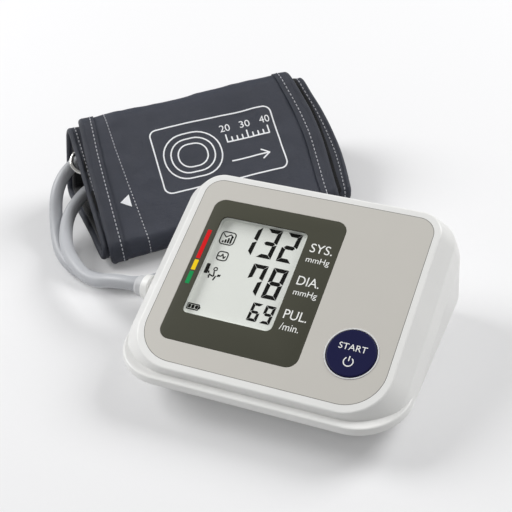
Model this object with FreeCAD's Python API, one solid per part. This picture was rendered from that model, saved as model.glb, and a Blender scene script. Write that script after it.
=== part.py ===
import FreeCAD, Part
import math
import os

from FreeCAD import Placement, Rotation, Vector

# Home blood pressure monitor with an upper-arm cuff, at rest on a table.
# Millimetres, +Z up.  X runs across the housing, -Y is the side that faces the
# user, and the origin is on the table under the middle of the housing.

# ---------------------------------------------------------------- housing
HOUSING_WIDTH = 140.0
HOUSING_DEPTH = 108.6
SPLIT_HEIGHT = 17.5          # where the two case halves meet
WALL = 2.2                   # case wall
TUB_HEIGHT_GAP = 2.0         # from the table to the underside of the tub
FRONT_RADIUS = 25.0          # plan radius of the housing's front corners
REAR_RADIUS = 15.0

PANEL_SLOPE = 20.0           # degrees, rising to the back
PANEL_SIDE = 12.0            # housing side to the panel's side edge
PANEL_WIDTH = HOUSING_WIDTH - 2 * PANEL_SIDE
PANEL_LENGTH = 98.0          # measured up the slope
PANEL_THICKNESS = 1.0
PANEL_SETBACK = 8.6          # housing front to the panel's front edge
PANEL_FRONT_HEIGHT = 25.4
PANEL_FRONT_RADIUS = 18.0
PANEL_REAR_RADIUS = 8.5
PANEL_GAP = 0.15             # seam round the panel

RIM_SIDE = 3.2               # white rim round the panel
RIM_FRONT = 3.7
RIM_REAR = 3.4
RIM_EDGE = 1.1               # rounding of the rim's outer edge
LEDGE_HEIGHT = 20.4          # top of the step in front of the rim
LEDGE_DRAFT = 1.1            # how far the ledge's front leans back
LEDGE_EDGE = 1.0             # rounding of the ledge's top edge
LEDGE_SIDE = 0.25            # how far the ledge's sides lie inside the case's
CHAMFER_DROP = 7.5           # side facet, measured down from the panel plane
CHAMFER_INSET = 2.25
FACET_EDGE = 2.5             # rounding where the facet turns down
SHOULDER_DROP = 15.5
SHOULDER_EDGE = 3.0
SEAM_EDGE = 0.35             # rounding of both halves along their seam
FACET_CORNER = 2.0           # how much larger the corner is at the facet
SHOULDER_CORNER = 3.0        # and at the shoulder

TUB_WAIST_HEIGHT = 9.0       # the tub draws in below this height
TUB_WAIST_INSET = 3.6
TUB_WAIST_FRONT = 8.0
TUB_BASE_INSET = 9.0
TUB_BASE_FRONT = 15.0
TUB_BASE_REAR = 2.8

# ---------------------------------------------------------------- display
WINDOW_LEFT = 50.1           # from the middle of the panel
WINDOW_RIGHT = 18.0
WINDOW_LOW = 10.5            # up the slope from the panel's front edge
WINDOW_HIGH = 87.4
WINDOW_RADIUS = 5.5
WINDOW_GAP = 0.1
LCD_LEFT = 43.8              # what shows of the glass
LCD_RIGHT = -0.9
LCD_LOW = 25.0
LCD_HIGH = 78.0
LCD_BORDER = 2.2             # glass hidden under the window's border
LCD_DEPTH = 3.4              # panel face down to the glass
LCD_THICKNESS = 2.6
HOLDER_WALL = 1.4
BOARD_DEPTH = 11.0           # panel face down to the circuit board
BOARD_THICKNESS = 1.6
STRIP_WIDTH = 2.4
POST_MARGIN = 3.2            # board screws in from the board's edges
POST_DIAMETER = 5.0
BOARD_SCREW = 2.0
BOARD_SCREW_HEAD = 3.8
BOARD_SCREW_LENGTH = 5.0
BOARD_MARGIN = 2.0           # board past the window on the left
BOARD_BELOW = 1.5            # and below it
BOARD_ABOVE = 10.0           # board past the glass at the top
BOARD_BESIDE = 5.5           # and past the window on the right
BOARD_BY_BUTTON = 1.9        # board past the button on the right
BOARD_UNDER_BUTTON = 3.7     # and below it
BOARD_OVER_BUTTON = 8.0      # the arm's upper edge over the button's middle
PROCESSOR_SIZE = 12.0
PROCESSOR_X = -24.0
PROCESSOR_UP = 50.0
CHIP_WIDTH = 8.0
CHIP_LENGTH = 5.0
CHIP_X = -4.0
CHIP_UP = 42.5
CHIP_HEIGHT = 1.5
CAPACITOR_DIAMETER = 5.5
CAPACITOR_HEIGHT = 4.8
CAPACITOR_X = 17.0
CAPACITOR_UP = 62.0
CAPACITOR_PITCH = 9.0
BUZZER_X = 10.0
BUZZER_UP = 18.0
BUZZER_DIAMETER = 12.0
BUZZER_HEIGHT = 4.0
SENSOR_X = -43.5
SENSOR_UP = 66.5
SENSOR_SIZE = 9.0
SENSOR_HEIGHT = 3.5

# ---------------------------------------------------------------- button
BUTTON_X = 39.8
BUTTON_UP = 24.0
BUTTON_RADIUS = 11.3
BUTTON_PROUD = 0.7
BUTTON_GAP = 0.25
BUTTON_TRAVEL = 0.9
FLANGE_WIDTH = 1.3
FLANGE_THICKNESS = 1.0
SWITCH_SIZE = 6.0
SWITCH_HEIGHT = 3.4
SWITCH_KEY = 3.4             # the switch's own round key
SWITCH_KEY_HEIGHT = 0.8
BUTTON_STEM = 4.0

# ---------------------------------------------------------------- batteries
CELL_DIAMETER = 14.3
CELL_LENGTH = 50.2
CELL_COUNT = 4
CELL_GAP = 0.5
CONTACT_SPACE = 3.2          # room for a spring or a contact plate
PLATE_HALF = 4.8
PLATE_THICKNESS = 0.5
BAY_REAR_MARGIN = 6.0        # bay's rear wall to the housing's rear
BAY_TO_PUMP = 1.5
PUMP_TO_BOSS = 1.95
SPRING_WIRE = 0.8
SPRING_BASE = 8.4            # a spring's wide end
SPRING_TIP = 5.2
NOSE_BASE = 6.4              # the boss on a contact plate
NOSE_TIP = 3.6
COVER_THICKNESS = 2.0
COVER_GAP = 0.3
COVER_LIP = 7.0              # height of the cover's rear lip
COVER_BORDER = 2.4
GRIP_COUNT = 4               # finger grooves under the cover
GRIP_PITCH = 2.4
GRIP_WIDTH = 18.0
GRIP_DEPTH = 0.6
GRIP_MARGIN = 8.0

# ---------------------------------------------------------------- air path
PLUG_Y = -3.0
PLUG_Z = 24.5
PLUG_DIAMETER = 13.0
PLUG_LENGTH = 5.4
PLUG_NECK = 1.2              # slimmer part inside the wall's hole
COLLAR_DIAMETER = 10.6
COLLAR_LENGTH = 4.0
SPIGOT_DIAMETER = 5.0        # the part of the plug inside the socket
SPIGOT_LENGTH = 9.0
SPIGOT_GAP = 0.15
SOCKET_DIAMETER = 11.0
SOCKET_DEPTH = 12.0
BORE_DIAMETER = 2.6
MANIFOLD_DIAMETER = 5.0
MANIFOLD_LENGTH = 9.0
BRANCH_PLACE = 5.0           # the manifold's branches, from the socket
BRANCH_LENGTH = 9.0
INNER_TUBE = 5.0
HOSE_DIAMETER = 7.0
FACE_GAP = 0.3               # between pieces that only come close

JACK_X = -47.0               # power inlet, from the housing's middle
JACK_OVER_BAY = 1.2          # its underside over the bay's roof
JACK_DIAMETER = 9.0
JACK_DEPTH = 13.0
JACK_BORE = 5.5
JACK_PIN = 2.1
JACK_SINK = 0.6

VALVE_FRONT = 13.0
VALVE_SIZE = 12.0
VALVE_LENGTH = 14.0
VALVE_PLATE = 1.5            # thickness of the bracket under the valve
LEAK_DIAMETER = 9.0
LEAK_HEIGHT = 12.0
LEAK_BEHIND = 2.0            # gap between the two valves, front to back

PUMP_DIAMETER = 24.0
PUMP_MOTOR_LENGTH = 28.0
PUMP_HEAD_LENGTH = 20.0
PUMP_HEAD_SIZE = 26.0
PUMP_CUSHION = 1.0
CUSHION_LENGTH = 16.0
CUSHION_START = 4.0          # from the head to the cushion
NOZZLE_LENGTH = 4.0

# ---------------------------------------------------------------- fixings
FOOT_DIAMETER = 9.0
FOOT_RECESS = 0.8
FOOT_SIDE = 24.0             # a foot's middle in from the housing's side
FOOT_END = 24.3              # and in from its front and rear
BOSS_DIAMETER = 7.0
SCREW_DIAMETER = 2.6
SCREW_HEAD = 5.2
SCREW_HEAD_HEIGHT = 1.8
SCREW_SINK = 3.0
SCREW_SIDE = 13.0            # a case screw in from the housing's side
SCREW_FRONT = 30.3           # in from the housing's front
SCREW_REAR = 12.3            # in from its rear

# ---------------------------------------------------------------- cuff
CUFF_CORNER = Vector(-136.9, 57.9, 0)   # middle of the roll's left end
CUFF_HEADING = 39.6          # degrees, the roll's axis from +X
CUFF_WIDTH = 123.0           # along the arm
CUFF_HALF_DEPTH = 41.0
CUFF_LOW_HEIGHT = 17.0       # the roll's low front edge
CUFF_HIGH_HEIGHT = 61.0      # where its sloping top would meet its back
CUFF_NOSE_RADIUS = 7.8       # low edge, above and below
CUFF_TOE_RADIUS = 10.5
CUFF_HEEL_RADIUS = 11.0
CUFF_CREST_RADIUS = 12.0
OUTER_WRAP = 3.6             # thickness of the outside turn
INNER_WRAP = 4.7             # the turns inside it
INNER_LEFT = 9.0             # how far the inner turns stand out
INNER_LEAN = 9.0             # degrees, more at the table than on top
INNER_RIGHT = 8.0
BLADDER_THICKNESS = 1.6
BLADDER_MARGIN = 12.0
BLADDER_START = 16.0         # from the roll's low edge
BLADDER_WIDTH = 44.0
BLADDER_PLAY = 0.1
NOSE_SHARE = 0.4             # radii's part of the low edge's height, at most
TOE_SHARE = 0.7
NOSE_LEAST = 0.7             # least radii inside the roll
HEEL_LEAST = 2.5
CREST_LEAST = 4.0
RING_WIRE = 2.2
RING_WIDTH = 14.6
RING_OUT = 9.6               # the ring's ends past the outside turn
RING_ACROSS = 16.0           # its middle, across the roll
RING_PLAY = 0.15             # wire in its sleeve, all round
SLEEVE_WALL = 0.9
SLEEVE_MARGIN = 6.0
PORT_ALONG = 84.0
PORT_HEIGHT = 10.0
PORT_REACH = 5.6             # hose centre line to the roll's low edge
PORT_FLANGE = 10.0
PORT_NOZZLE = 8.0

LONG = 200.0                 # longer than any piece
TINY = 0.02


# ---------------------------------------------------------------- frames
def cuff_point(along, across, height):
    """A point given along the roll's axis, across it and above the table."""
    return CUFF_FRAME.multVec(Vector(along, across, height))


PANEL_FRONT_Y = -HOUSING_DEPTH / 2 + PANEL_SETBACK
PANEL_FRAME = Placement(Vector(0, PANEL_FRONT_Y, PANEL_FRONT_HEIGHT),
                        Rotation(Vector(1, 0, 0), PANEL_SLOPE))
CUFF_FRAME = Placement(CUFF_CORNER, Rotation(Vector(0, 0, 1), CUFF_HEADING))
SIN = math.sin(math.radians(PANEL_SLOPE))
COS = math.cos(math.radians(PANEL_SLOPE))


def slope_of(y, out):
    """Distance up the slope, at a height out of the panel, of a world Y."""
    return (y - PANEL_FRONT_Y + out * SIN) / COS


def moved(shape, frame):
    """A copy of a shape drawn in a local frame, put where it belongs."""
    result = shape.copy()
    result.Placement = frame.multiply(result.Placement)
    return result


# ---------------------------------------------------------------- drawing
def rounded_outline(x0, x1, y0, y1, front_radius, rear_radius, z=0.0):
    """A rounded rectangle whose two front and two rear corners differ."""
    corners = [Vector(x0, y0, z), Vector(x1, y0, z), Vector(x1, y1, z), Vector(x0, y1, z)]
    return rounded_polygon(corners, [front_radius, front_radius, rear_radius, rear_radius])


def rounded_polygon(corners, radii):
    """A closed wire through the corners, each rounded by a tangent arc."""
    edges = []
    stops = []
    count = len(corners)
    for index in range(count):
        here = corners[index]
        to_last = (corners[index - 1] - here).normalize()
        to_next = (corners[(index + 1) % count] - here).normalize()
        half = to_last.getAngle(to_next) / 2
        reach = radii[index] / math.tan(half)
        start = here + to_last * reach
        end = here + to_next * reach
        inward = (to_last + to_next).normalize()
        middle = here + inward * (radii[index] / math.sin(half) - radii[index])
        stops.append((start, middle, end))
    for index in range(count):
        start, middle, end = stops[index]
        edges.append(Part.Arc(start, middle, end).toShape())
        edges.append(Part.LineSegment(end, stops[(index + 1) % count][0]).toShape())
    return Part.Wire(edges)


def solid_between(wire, travel):
    """The solid that a closed wire sweeps out along a straight travel."""
    return Part.Face(wire).extrude(travel)


def block(x0, x1, y0, y1, z0, z1):
    """A box between two corners."""
    return Part.makeBox(x1 - x0, y1 - y0, z1 - z0, Vector(x0, y0, z0))


def rounded_block(x0, x1, y0, y1, z0, z1, radius):
    """A box with rounded upright edges."""
    wire = rounded_outline(x0, x1, y0, y1, radius, radius, z0)
    return solid_between(wire, Vector(0, 0, z1 - z0))


def rod(diameter, length, start, axis):
    """A round bar from a point along an axis."""
    return Part.makeCylinder(diameter / 2, length, start, axis)


def tube_path(points):
    """Straight runs joined by arcs that take 0.45 of the shorter run at each turn."""
    edges = []
    radii = []
    last = points[0]
    for index in range(1, len(points) - 1):
        here = points[index]
        back = points[index - 1] - here
        ahead = points[index + 1] - here
        reach = 0.45 * min(back.Length, ahead.Length)
        back.normalize()
        ahead.normalize()
        half = back.getAngle(ahead) / 2
        radius = reach * math.tan(half)
        radii.append(radius)
        start = here + back * reach
        end = here + ahead * reach
        inward = (back + ahead).normalize()
        middle = here + inward * (radius / math.sin(half) - radius)
        edges.append(Part.LineSegment(last, start).toShape())
        edges.append(Part.Arc(start, middle, end).toShape())
        last = end
    edges.append(Part.LineSegment(last, points[-1]).toShape())
    return Part.Wire(edges), radii


def swept_tube(points, diameter):
    """A round tube along a route, closed at both ends."""
    path, radii = tube_path(points)
    direction = points[1] - points[0]
    profile = Part.Wire(Part.makeCircle(diameter / 2, points[0], direction))
    shell = Part.BRepOffsetAPI.MakePipeShell(path)
    shell.add(profile)
    shell.setTransitionMode(1)
    shell.build()
    shell.makeSolid()
    return Part.Solid(shell.shape()), path, radii


def revolved(profile, start, axis):
    """A turned piece: (distance along, radius) pairs spun about an axis."""
    points = [Vector(radius, 0, along) for along, radius in profile]
    face = Part.Face(Part.makePolygon(points + [points[0]]))
    spun = face.revolve(Vector(0, 0, 0), Vector(0, 0, 1), 360)
    return moved(spun, Placement(start, Rotation(Vector(0, 0, 1), axis)))


def fused(first, others):
    """One solid from several that touch."""
    return first.multiFuse(others).removeSplitter()


# ---------------------------------------------------------------- housing forms
def crown_section(drop, half_width, front, rear, front_radius, rear_radius):
    """Outline of the case parallel to the panel, a drop below its face."""
    out = -drop * COS
    return rounded_outline(-half_width, half_width, slope_of(front, out), slope_of(rear, out),
                           front_radius, rear_radius, out)


def crown_form(inset):
    """The sloping top of the case, drawn in by an inset on every side."""
    top_half = PANEL_WIDTH / 2 + RIM_SIDE - inset
    front = PANEL_FRONT_Y - RIM_FRONT + inset
    rear = PANEL_FRONT_Y + PANEL_LENGTH * COS + RIM_REAR - inset
    full_half = HOUSING_WIDTH / 2 - inset
    full_rear = HOUSING_DEPTH / 2 - inset
    chamfer_rear = full_rear - CHAMFER_INSET / 2
    corner = PANEL_FRONT_RADIUS + RIM_SIDE - inset
    rear_corner = PANEL_REAR_RADIUS + RIM_SIDE - inset
    top = crown_section(inset, top_half, front, rear, corner, rear_corner)
    facet = crown_section(CHAMFER_DROP + inset / 2, full_half - CHAMFER_INSET, front, chamfer_rear,
                          corner + FACET_CORNER, REAR_RADIUS - inset - CHAMFER_INSET / 2)
    shoulder = crown_section(SHOULDER_DROP, full_half, front, full_rear,
                             corner + SHOULDER_CORNER, REAR_RADIUS - inset)
    crown = Part.makeLoft([top, facet, shoulder], True, True)
    crown = moved(crown, PANEL_FRAME)
    skirt = Part.Face(shoulder)
    skirt.Placement = PANEL_FRAME
    skirt = skirt.extrude(Vector(0, 0, -LONG))
    form = fused(crown, [skirt])
    below = block(-LONG, LONG, -LONG, LONG, -2 * LONG, SPLIT_HEIGHT)
    return form.cut(below)


def ledge_form(inset):
    """The low step that runs round the front of the case."""
    half = HOUSING_WIDTH / 2 - inset - LEDGE_SIDE
    front = -HOUSING_DEPTH / 2 + inset
    rear = HOUSING_DEPTH / 2 - inset - REAR_RADIUS
    radius = FRONT_RADIUS - inset
    low = rounded_outline(-half, half, front, rear, radius, radius / 2, SPLIT_HEIGHT)
    high = rounded_outline(-half + LEDGE_DRAFT / 2, half - LEDGE_DRAFT / 2, front + LEDGE_DRAFT,
                           rear, radius - LEDGE_DRAFT, radius / 2, LEDGE_HEIGHT - inset)
    return Part.makeLoft([low, high], True, True)


def case_top_form(inset):
    """Everything of the housing above the split, solid."""
    return fused(crown_form(inset), [ledge_form(inset)])


def edges_on_plane(shape, point, normal):
    """The edges whose ends both lie on a plane."""
    return [edge for edge in shape.Edges
            if all(abs((vertex.Point - point).dot(normal)) < TINY / 10
                   for vertex in edge.Vertexes)]


def case_skin_form():
    """The outside of the case's top, with its edges rounded."""
    out = PANEL_FRAME.Rotation.multVec(Vector(0, 0, 1))
    crown = crown_form(0.0)
    for drop, radius in ((0.0, RIM_EDGE), (CHAMFER_DROP, FACET_EDGE), (SHOULDER_DROP, SHOULDER_EDGE)):
        edges = edges_on_plane(crown, PANEL_FRAME.Base - out * (drop * COS), out)
        crown = crown.makeFillet(radius, edges)
    ledge = ledge_form(0.0)
    up = Vector(0, 0, 1)
    ledge = ledge.makeFillet(LEDGE_EDGE, edges_on_plane(ledge, up * LEDGE_HEIGHT, up))
    skin = fused(crown, [ledge])
    return skin.makeFillet(SEAM_EDGE, edges_on_plane(skin, up * SPLIT_HEIGHT, up))


def tub_section(height, side_inset, front_inset, rear_inset, inset):
    """Plan outline of the tub at one height."""
    half = HOUSING_WIDTH / 2 - side_inset - inset
    shrink = (side_inset + front_inset) / 2
    return rounded_outline(-half, half, -HOUSING_DEPTH / 2 + front_inset + inset,
                           HOUSING_DEPTH / 2 - rear_inset - inset,
                           max(FRONT_RADIUS - inset - shrink / 3, 2.0),
                           max(REAR_RADIUS - inset - rear_inset / 2, 2.0), height)


def tub_form(inset):
    """The boat-shaped lower half, solid, drawn in by an inset."""
    sections = [tub_section(TUB_HEIGHT_GAP + inset, TUB_BASE_INSET, TUB_BASE_FRONT,
                            TUB_BASE_REAR, inset),
                tub_section(TUB_WAIST_HEIGHT, TUB_WAIST_INSET, TUB_WAIST_FRONT,
                            TUB_BASE_REAR / 2, inset),
                tub_section(SPLIT_HEIGHT, 0.0, 0.0, 0.0, inset)]
    return Part.makeLoft(sections, True, True)


def tub_skin_form():
    """The outside of the tub, rounded along the seam."""
    up = Vector(0, 0, 1)
    tub = tub_form(0.0)
    return tub.makeFillet(SEAM_EDGE, edges_on_plane(tub, up * SPLIT_HEIGHT, up))


# ---------------------------------------------------------------- battery bay
BAY_WIDTH = CELL_COUNT * (CELL_DIAMETER + CELL_GAP) + CELL_GAP
BAY_LENGTH = CELL_LENGTH + 2 * CONTACT_SPACE
BAY_REAR = HOUSING_DEPTH / 2 - BAY_REAR_MARGIN
BAY_FRONT = BAY_REAR - BAY_LENGTH
COVER_TOP = TUB_HEIGHT_GAP + COVER_THICKNESS
CELL_HEIGHT = COVER_TOP + COVER_GAP + CELL_DIAMETER / 2
BAY_ROOF = CELL_HEIGHT + CELL_DIAMETER / 2 + CELL_GAP
SCREW_X = HOUSING_WIDTH / 2 - SCREW_SIDE
SCREW_FRONT_Y = -HOUSING_DEPTH / 2 + SCREW_FRONT
SCREW_REAR_Y = HOUSING_DEPTH / 2 - SCREW_REAR
PUMP_X = SCREW_X - BOSS_DIAMETER / 2 - PUMP_TO_BOSS - PUMP_HEAD_SIZE / 2
BAY_RIGHT = PUMP_X - PUMP_HEAD_SIZE / 2 - BAY_TO_PUMP - WALL
BAY_LEFT = BAY_RIGHT - BAY_WIDTH
BAY_X = (BAY_LEFT + BAY_RIGHT) / 2
COVER_FRONT = BAY_FRONT - COVER_BORDER
COVER_REAR = HOUSING_DEPTH / 2 - TUB_BASE_REAR


def cell_x(index):
    """Middle of one battery across the bay."""
    return BAY_X + (index - (CELL_COUNT - 1) / 2) * (CELL_DIAMETER + CELL_GAP)


def screw_places():
    """Where the case screws stand in plan."""
    return [(side * SCREW_X, y) for y in (SCREW_FRONT_Y, SCREW_REAR_Y) for side in (-1, 1)]


def foot_places():
    """Where the rubber feet sit in plan."""
    across = HOUSING_WIDTH / 2 - FOOT_SIDE
    along = HOUSING_DEPTH / 2 - FOOT_END
    return [(x * across, y * along) for y in (-1, 1) for x in (-1, 1)]


# ---------------------------------------------------------------- case halves
def window_cut(grow, depth):
    """The hole in the face for the display window."""
    return rounded_block(-WINDOW_LEFT - grow, WINDOW_RIGHT + grow, WINDOW_LOW - grow,
                         WINDOW_HIGH + grow, -depth, 1.0, WINDOW_RADIUS + grow)


def make_upper_case():
    """White upper shell with the panel recess and the holes in its face."""
    shell = case_skin_form().cut(case_top_form(WALL))
    bosses = []
    for x, y in screw_places():
        post = rod(BOSS_DIAMETER, LONG, Vector(x, y, SPLIT_HEIGHT + TINY), Vector(0, 0, 1))
        bosses.append(post.common(case_top_form(WALL / 2)))
    for x, up in POST_PLACES:
        post = rod(POST_DIAMETER, BOARD_DEPTH, Vector(x, up, -BOARD_DEPTH), Vector(0, 0, 1))
        post = moved(post, PANEL_FRAME).common(case_top_form(WALL / 2))
        hole = rod(BOARD_SCREW, BOARD_SCREW_LENGTH, Vector(x, up, -BOARD_DEPTH - 1.0),
                   Vector(0, 0, 1))
        bosses.append(post.cut(moved(hole, PANEL_FRAME)))
    shell = fused(shell, bosses)
    grow = PANEL_GAP
    outline = rounded_outline(-PANEL_WIDTH / 2 - grow, PANEL_WIDTH / 2 + grow, -grow,
                              PANEL_LENGTH + grow, PANEL_FRONT_RADIUS + grow,
                              PANEL_REAR_RADIUS + grow, -PANEL_THICKNESS)
    recess = solid_between(outline, Vector(0, 0, 5.0))
    glass = block(-LCD_LEFT - 1.0, -LCD_RIGHT + 1.0, LCD_LOW - 1.0, LCD_HIGH + 1.0, -LONG / 10, 1.0)
    hole = rod(2 * (BUTTON_RADIUS + BUTTON_GAP), LONG / 10 + 1.0,
               Vector(BUTTON_X, BUTTON_UP, -LONG / 10), Vector(0, 0, 1))
    for cut in (recess, glass, hole):
        shell = shell.cut(moved(cut, PANEL_FRAME))
    shell = shell.cut(rod(SOCKET_DIAMETER, 6.0, Vector(-HOUSING_WIDTH / 2 - 2.0, PLUG_Y, PLUG_Z),
                          Vector(1, 0, 0)))
    for x, y in screw_places():
        shell = shell.cut(rod(SCREW_DIAMETER, 7.0, Vector(x, y, SPLIT_HEIGHT - 1.0), Vector(0, 0, 1)))
    return shell.cut(dc_jack_body())


def make_lower_case():
    """White tub with the battery bay, screw bosses and foot recesses."""
    shell = tub_skin_form().cut(tub_form(WALL))
    rim = block(-LONG, LONG, -LONG, LONG, SPLIT_HEIGHT - TINY, LONG)
    shell = shell.cut(rim)
    bay_wall = block(BAY_LEFT - WALL, BAY_RIGHT + WALL, BAY_FRONT - WALL, BAY_REAR + WALL,
                     TUB_HEIGHT_GAP + WALL / 2, BAY_ROOF + WALL)
    bay_wall = bay_wall.common(fused(tub_form(WALL / 2), [case_top_form(WALL + FACE_GAP)]))
    bosses = [rod(BOSS_DIAMETER, LONG, Vector(x, y, TUB_HEIGHT_GAP), Vector(0, 0, 1))
              .common(tub_form(WALL / 2)) for x, y in screw_places()]
    shell = fused(shell, bosses + [bay_wall])
    bay = block(BAY_LEFT, BAY_RIGHT, BAY_FRONT, BAY_REAR, 0.0, BAY_ROOF)
    side = COVER_BORDER + COVER_GAP
    door = block(BAY_LEFT - side, BAY_RIGHT + side, COVER_FRONT - COVER_GAP, LONG, 0.0,
                 COVER_TOP + COVER_GAP / 2)
    lip = block(BAY_LEFT - side, BAY_RIGHT + side, BAY_REAR + WALL + COVER_GAP, LONG, 0.0,
                TUB_HEIGHT_GAP + COVER_LIP + COVER_GAP)
    for cut in (bay, door, lip):
        shell = shell.cut(cut)
    for x, y in screw_places():
        head = rod(SCREW_HEAD + 2 * FACE_GAP, SCREW_SINK + SCREW_HEAD_HEIGHT + TUB_HEIGHT_GAP,
                   Vector(x, y, 0), Vector(0, 0, 1))
        shank = rod(SCREW_DIAMETER + 2 * FACE_GAP, LONG, Vector(x, y, 0), Vector(0, 0, 1))
        shell = shell.cut(head).cut(shank)
    for x, y in foot_places():
        shell = shell.cut(rod(FOOT_DIAMETER, FOOT_RECESS + TUB_HEIGHT_GAP, Vector(x, y, 0),
                              Vector(0, 0, 1)))
    return shell


def make_face_panel():
    """Grey plate on the slope, cut out for the window and the button."""
    outline = rounded_outline(-PANEL_WIDTH / 2, PANEL_WIDTH / 2, 0.0, PANEL_LENGTH,
                              PANEL_FRONT_RADIUS, PANEL_REAR_RADIUS, -PANEL_THICKNESS)
    plate = solid_between(outline, Vector(0, 0, PANEL_THICKNESS))
    plate = plate.cut(window_cut(WINDOW_GAP, 2.0))
    plate = plate.cut(rod(2 * (BUTTON_RADIUS + BUTTON_GAP), 4.0,
                          Vector(BUTTON_X, BUTTON_UP, -2.0), Vector(0, 0, 1)))
    return moved(plate, PANEL_FRAME)


def make_display_window():
    """Clear plate over the display, with a printed border."""
    plate = window_cut(0.0, PANEL_THICKNESS)
    return moved(plate.cut(block(-LONG, LONG, -LONG, LONG, 0.0, LONG)), PANEL_FRAME)


# ---------------------------------------------------------------- display stack
def glass_block(grow, top, bottom):
    """A block on the display's outline, between two depths."""
    reach = LCD_BORDER + grow
    return block(-LCD_LEFT - reach, -LCD_RIGHT + reach, LCD_LOW - reach, LCD_HIGH + reach,
                 -bottom, -top)


def make_lcd_glass():
    """The liquid crystal cell."""
    return moved(glass_block(0.0, LCD_DEPTH, LCD_DEPTH + LCD_THICKNESS), PANEL_FRAME)


def make_lcd_holder():
    """Frame that carries the glass over the circuit board."""
    frame = glass_block(HOLDER_WALL, LCD_DEPTH + 0.6, BOARD_DEPTH)
    hollow = glass_block(TINY, 0.0, LCD_DEPTH + LCD_THICKNESS)
    inner = glass_block(-STRIP_WIDTH, 0.0, BOARD_DEPTH + 1.0)
    strip_room = glass_block(TINY, LCD_DEPTH + LCD_THICKNESS - 1.0, BOARD_DEPTH + 1.0)
    keep = block(-LCD_LEFT - 1.0, -LCD_RIGHT + 1.0, LCD_LOW - LONG, LCD_HIGH + LONG, -LONG, LONG)
    frame = frame.cut(hollow).cut(inner).cut(strip_room.common(keep))
    return moved(frame, PANEL_FRAME)


def make_contact_strips():
    """Two rubber strips that join the glass to the board."""
    strips = []
    for low in (LCD_LOW - LCD_BORDER + 0.4, LCD_HIGH + LCD_BORDER - 0.4 - STRIP_WIDTH):
        strips.append(block(-LCD_LEFT, -LCD_RIGHT, low, low + STRIP_WIDTH - 0.4,
                            -BOARD_DEPTH, -LCD_DEPTH - LCD_THICKNESS))
    return moved(Part.makeCompound(strips), PANEL_FRAME)


BOARD_LEFT = WINDOW_LEFT + BOARD_MARGIN
BOARD_MIDDLE = WINDOW_RIGHT + BOARD_BESIDE
BOARD_RIGHT = BUTTON_X + BUTTON_RADIUS + BOARD_BY_BUTTON
BOARD_LOW = min(WINDOW_LOW - BOARD_BELOW, BUTTON_UP - BUTTON_RADIUS - BOARD_UNDER_BUTTON)
BOARD_STEP = BUTTON_UP + BOARD_OVER_BUTTON
BOARD_HIGH = LCD_HIGH + BOARD_ABOVE
BOARD_UNDER = -BOARD_DEPTH - BOARD_THICKNESS
POST_PLACES = [(-BOARD_LEFT + POST_MARGIN, BOARD_LOW + POST_MARGIN),
               (BOARD_RIGHT - POST_MARGIN, BOARD_LOW + POST_MARGIN),
               (-BOARD_LEFT + POST_MARGIN, BOARD_HIGH - POST_MARGIN),
               (BOARD_MIDDLE - POST_MARGIN, BOARD_HIGH - POST_MARGIN)]


def make_circuit_board():
    """L-shaped board under the display and the button."""
    board = block(-BOARD_LEFT, BOARD_MIDDLE, BOARD_LOW, BOARD_HIGH,
                  -BOARD_DEPTH - BOARD_THICKNESS, -BOARD_DEPTH)
    arm = block(BOARD_MIDDLE, BOARD_RIGHT, BOARD_LOW, BOARD_STEP,
                -BOARD_DEPTH - BOARD_THICKNESS, -BOARD_DEPTH)
    board = fused(board, [arm])
    for x, up in POST_PLACES:
        board = board.cut(rod(BOARD_SCREW, LONG, Vector(x, up, -LONG / 2), Vector(0, 0, 1)))
    return moved(board, PANEL_FRAME)


def make_board_screws():
    """Four small screws that hold the board to the upper case's posts."""
    screws = []
    for x, up in POST_PLACES:
        profile = [(-1.4, 0.0), (-1.4, BOARD_SCREW_HEAD / 2 - 0.4), (-1.0, BOARD_SCREW_HEAD / 2),
                   (0.0, BOARD_SCREW_HEAD / 2), (0.0, BOARD_SCREW / 2),
                   (BOARD_SCREW_LENGTH, BOARD_SCREW / 2), (BOARD_SCREW_LENGTH, 0.0)]
        screws.append(revolved(profile, Vector(x, up, BOARD_UNDER), Vector(0, 0, 1)))
    return moved(Part.makeCompound(screws), PANEL_FRAME)


def make_board_parts():
    """Processor, driver chip and capacitors on the underside of the board."""
    pieces = []
    for x, up, width, length in ((PROCESSOR_X, PROCESSOR_UP, PROCESSOR_SIZE, PROCESSOR_SIZE),
                                 (CHIP_X, CHIP_UP, CHIP_WIDTH, CHIP_LENGTH)):
        pieces.append(block(x - width / 2, x + width / 2, up - length / 2, up + length / 2,
                            BOARD_UNDER - CHIP_HEIGHT, BOARD_UNDER))
    for row in range(2):
        start = Vector(CAPACITOR_X, CAPACITOR_UP + row * CAPACITOR_PITCH, BOARD_UNDER)
        pieces.append(rod(CAPACITOR_DIAMETER, CAPACITOR_HEIGHT, start, Vector(0, 0, -1)))
    return moved(Part.makeCompound(pieces), PANEL_FRAME)


def make_buzzer():
    """Round sounder on the board, with a sound hole in its face."""
    shell = rod(BUZZER_DIAMETER, BUZZER_HEIGHT, Vector(BUZZER_X, BUZZER_UP, BOARD_UNDER),
                Vector(0, 0, -1))
    mouth = rod(BUZZER_DIAMETER / 6, BUZZER_HEIGHT / 3,
                Vector(BUZZER_X, BUZZER_UP, BOARD_UNDER - BUZZER_HEIGHT), Vector(0, 0, 1))
    return moved(shell.cut(mouth), PANEL_FRAME)


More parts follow.
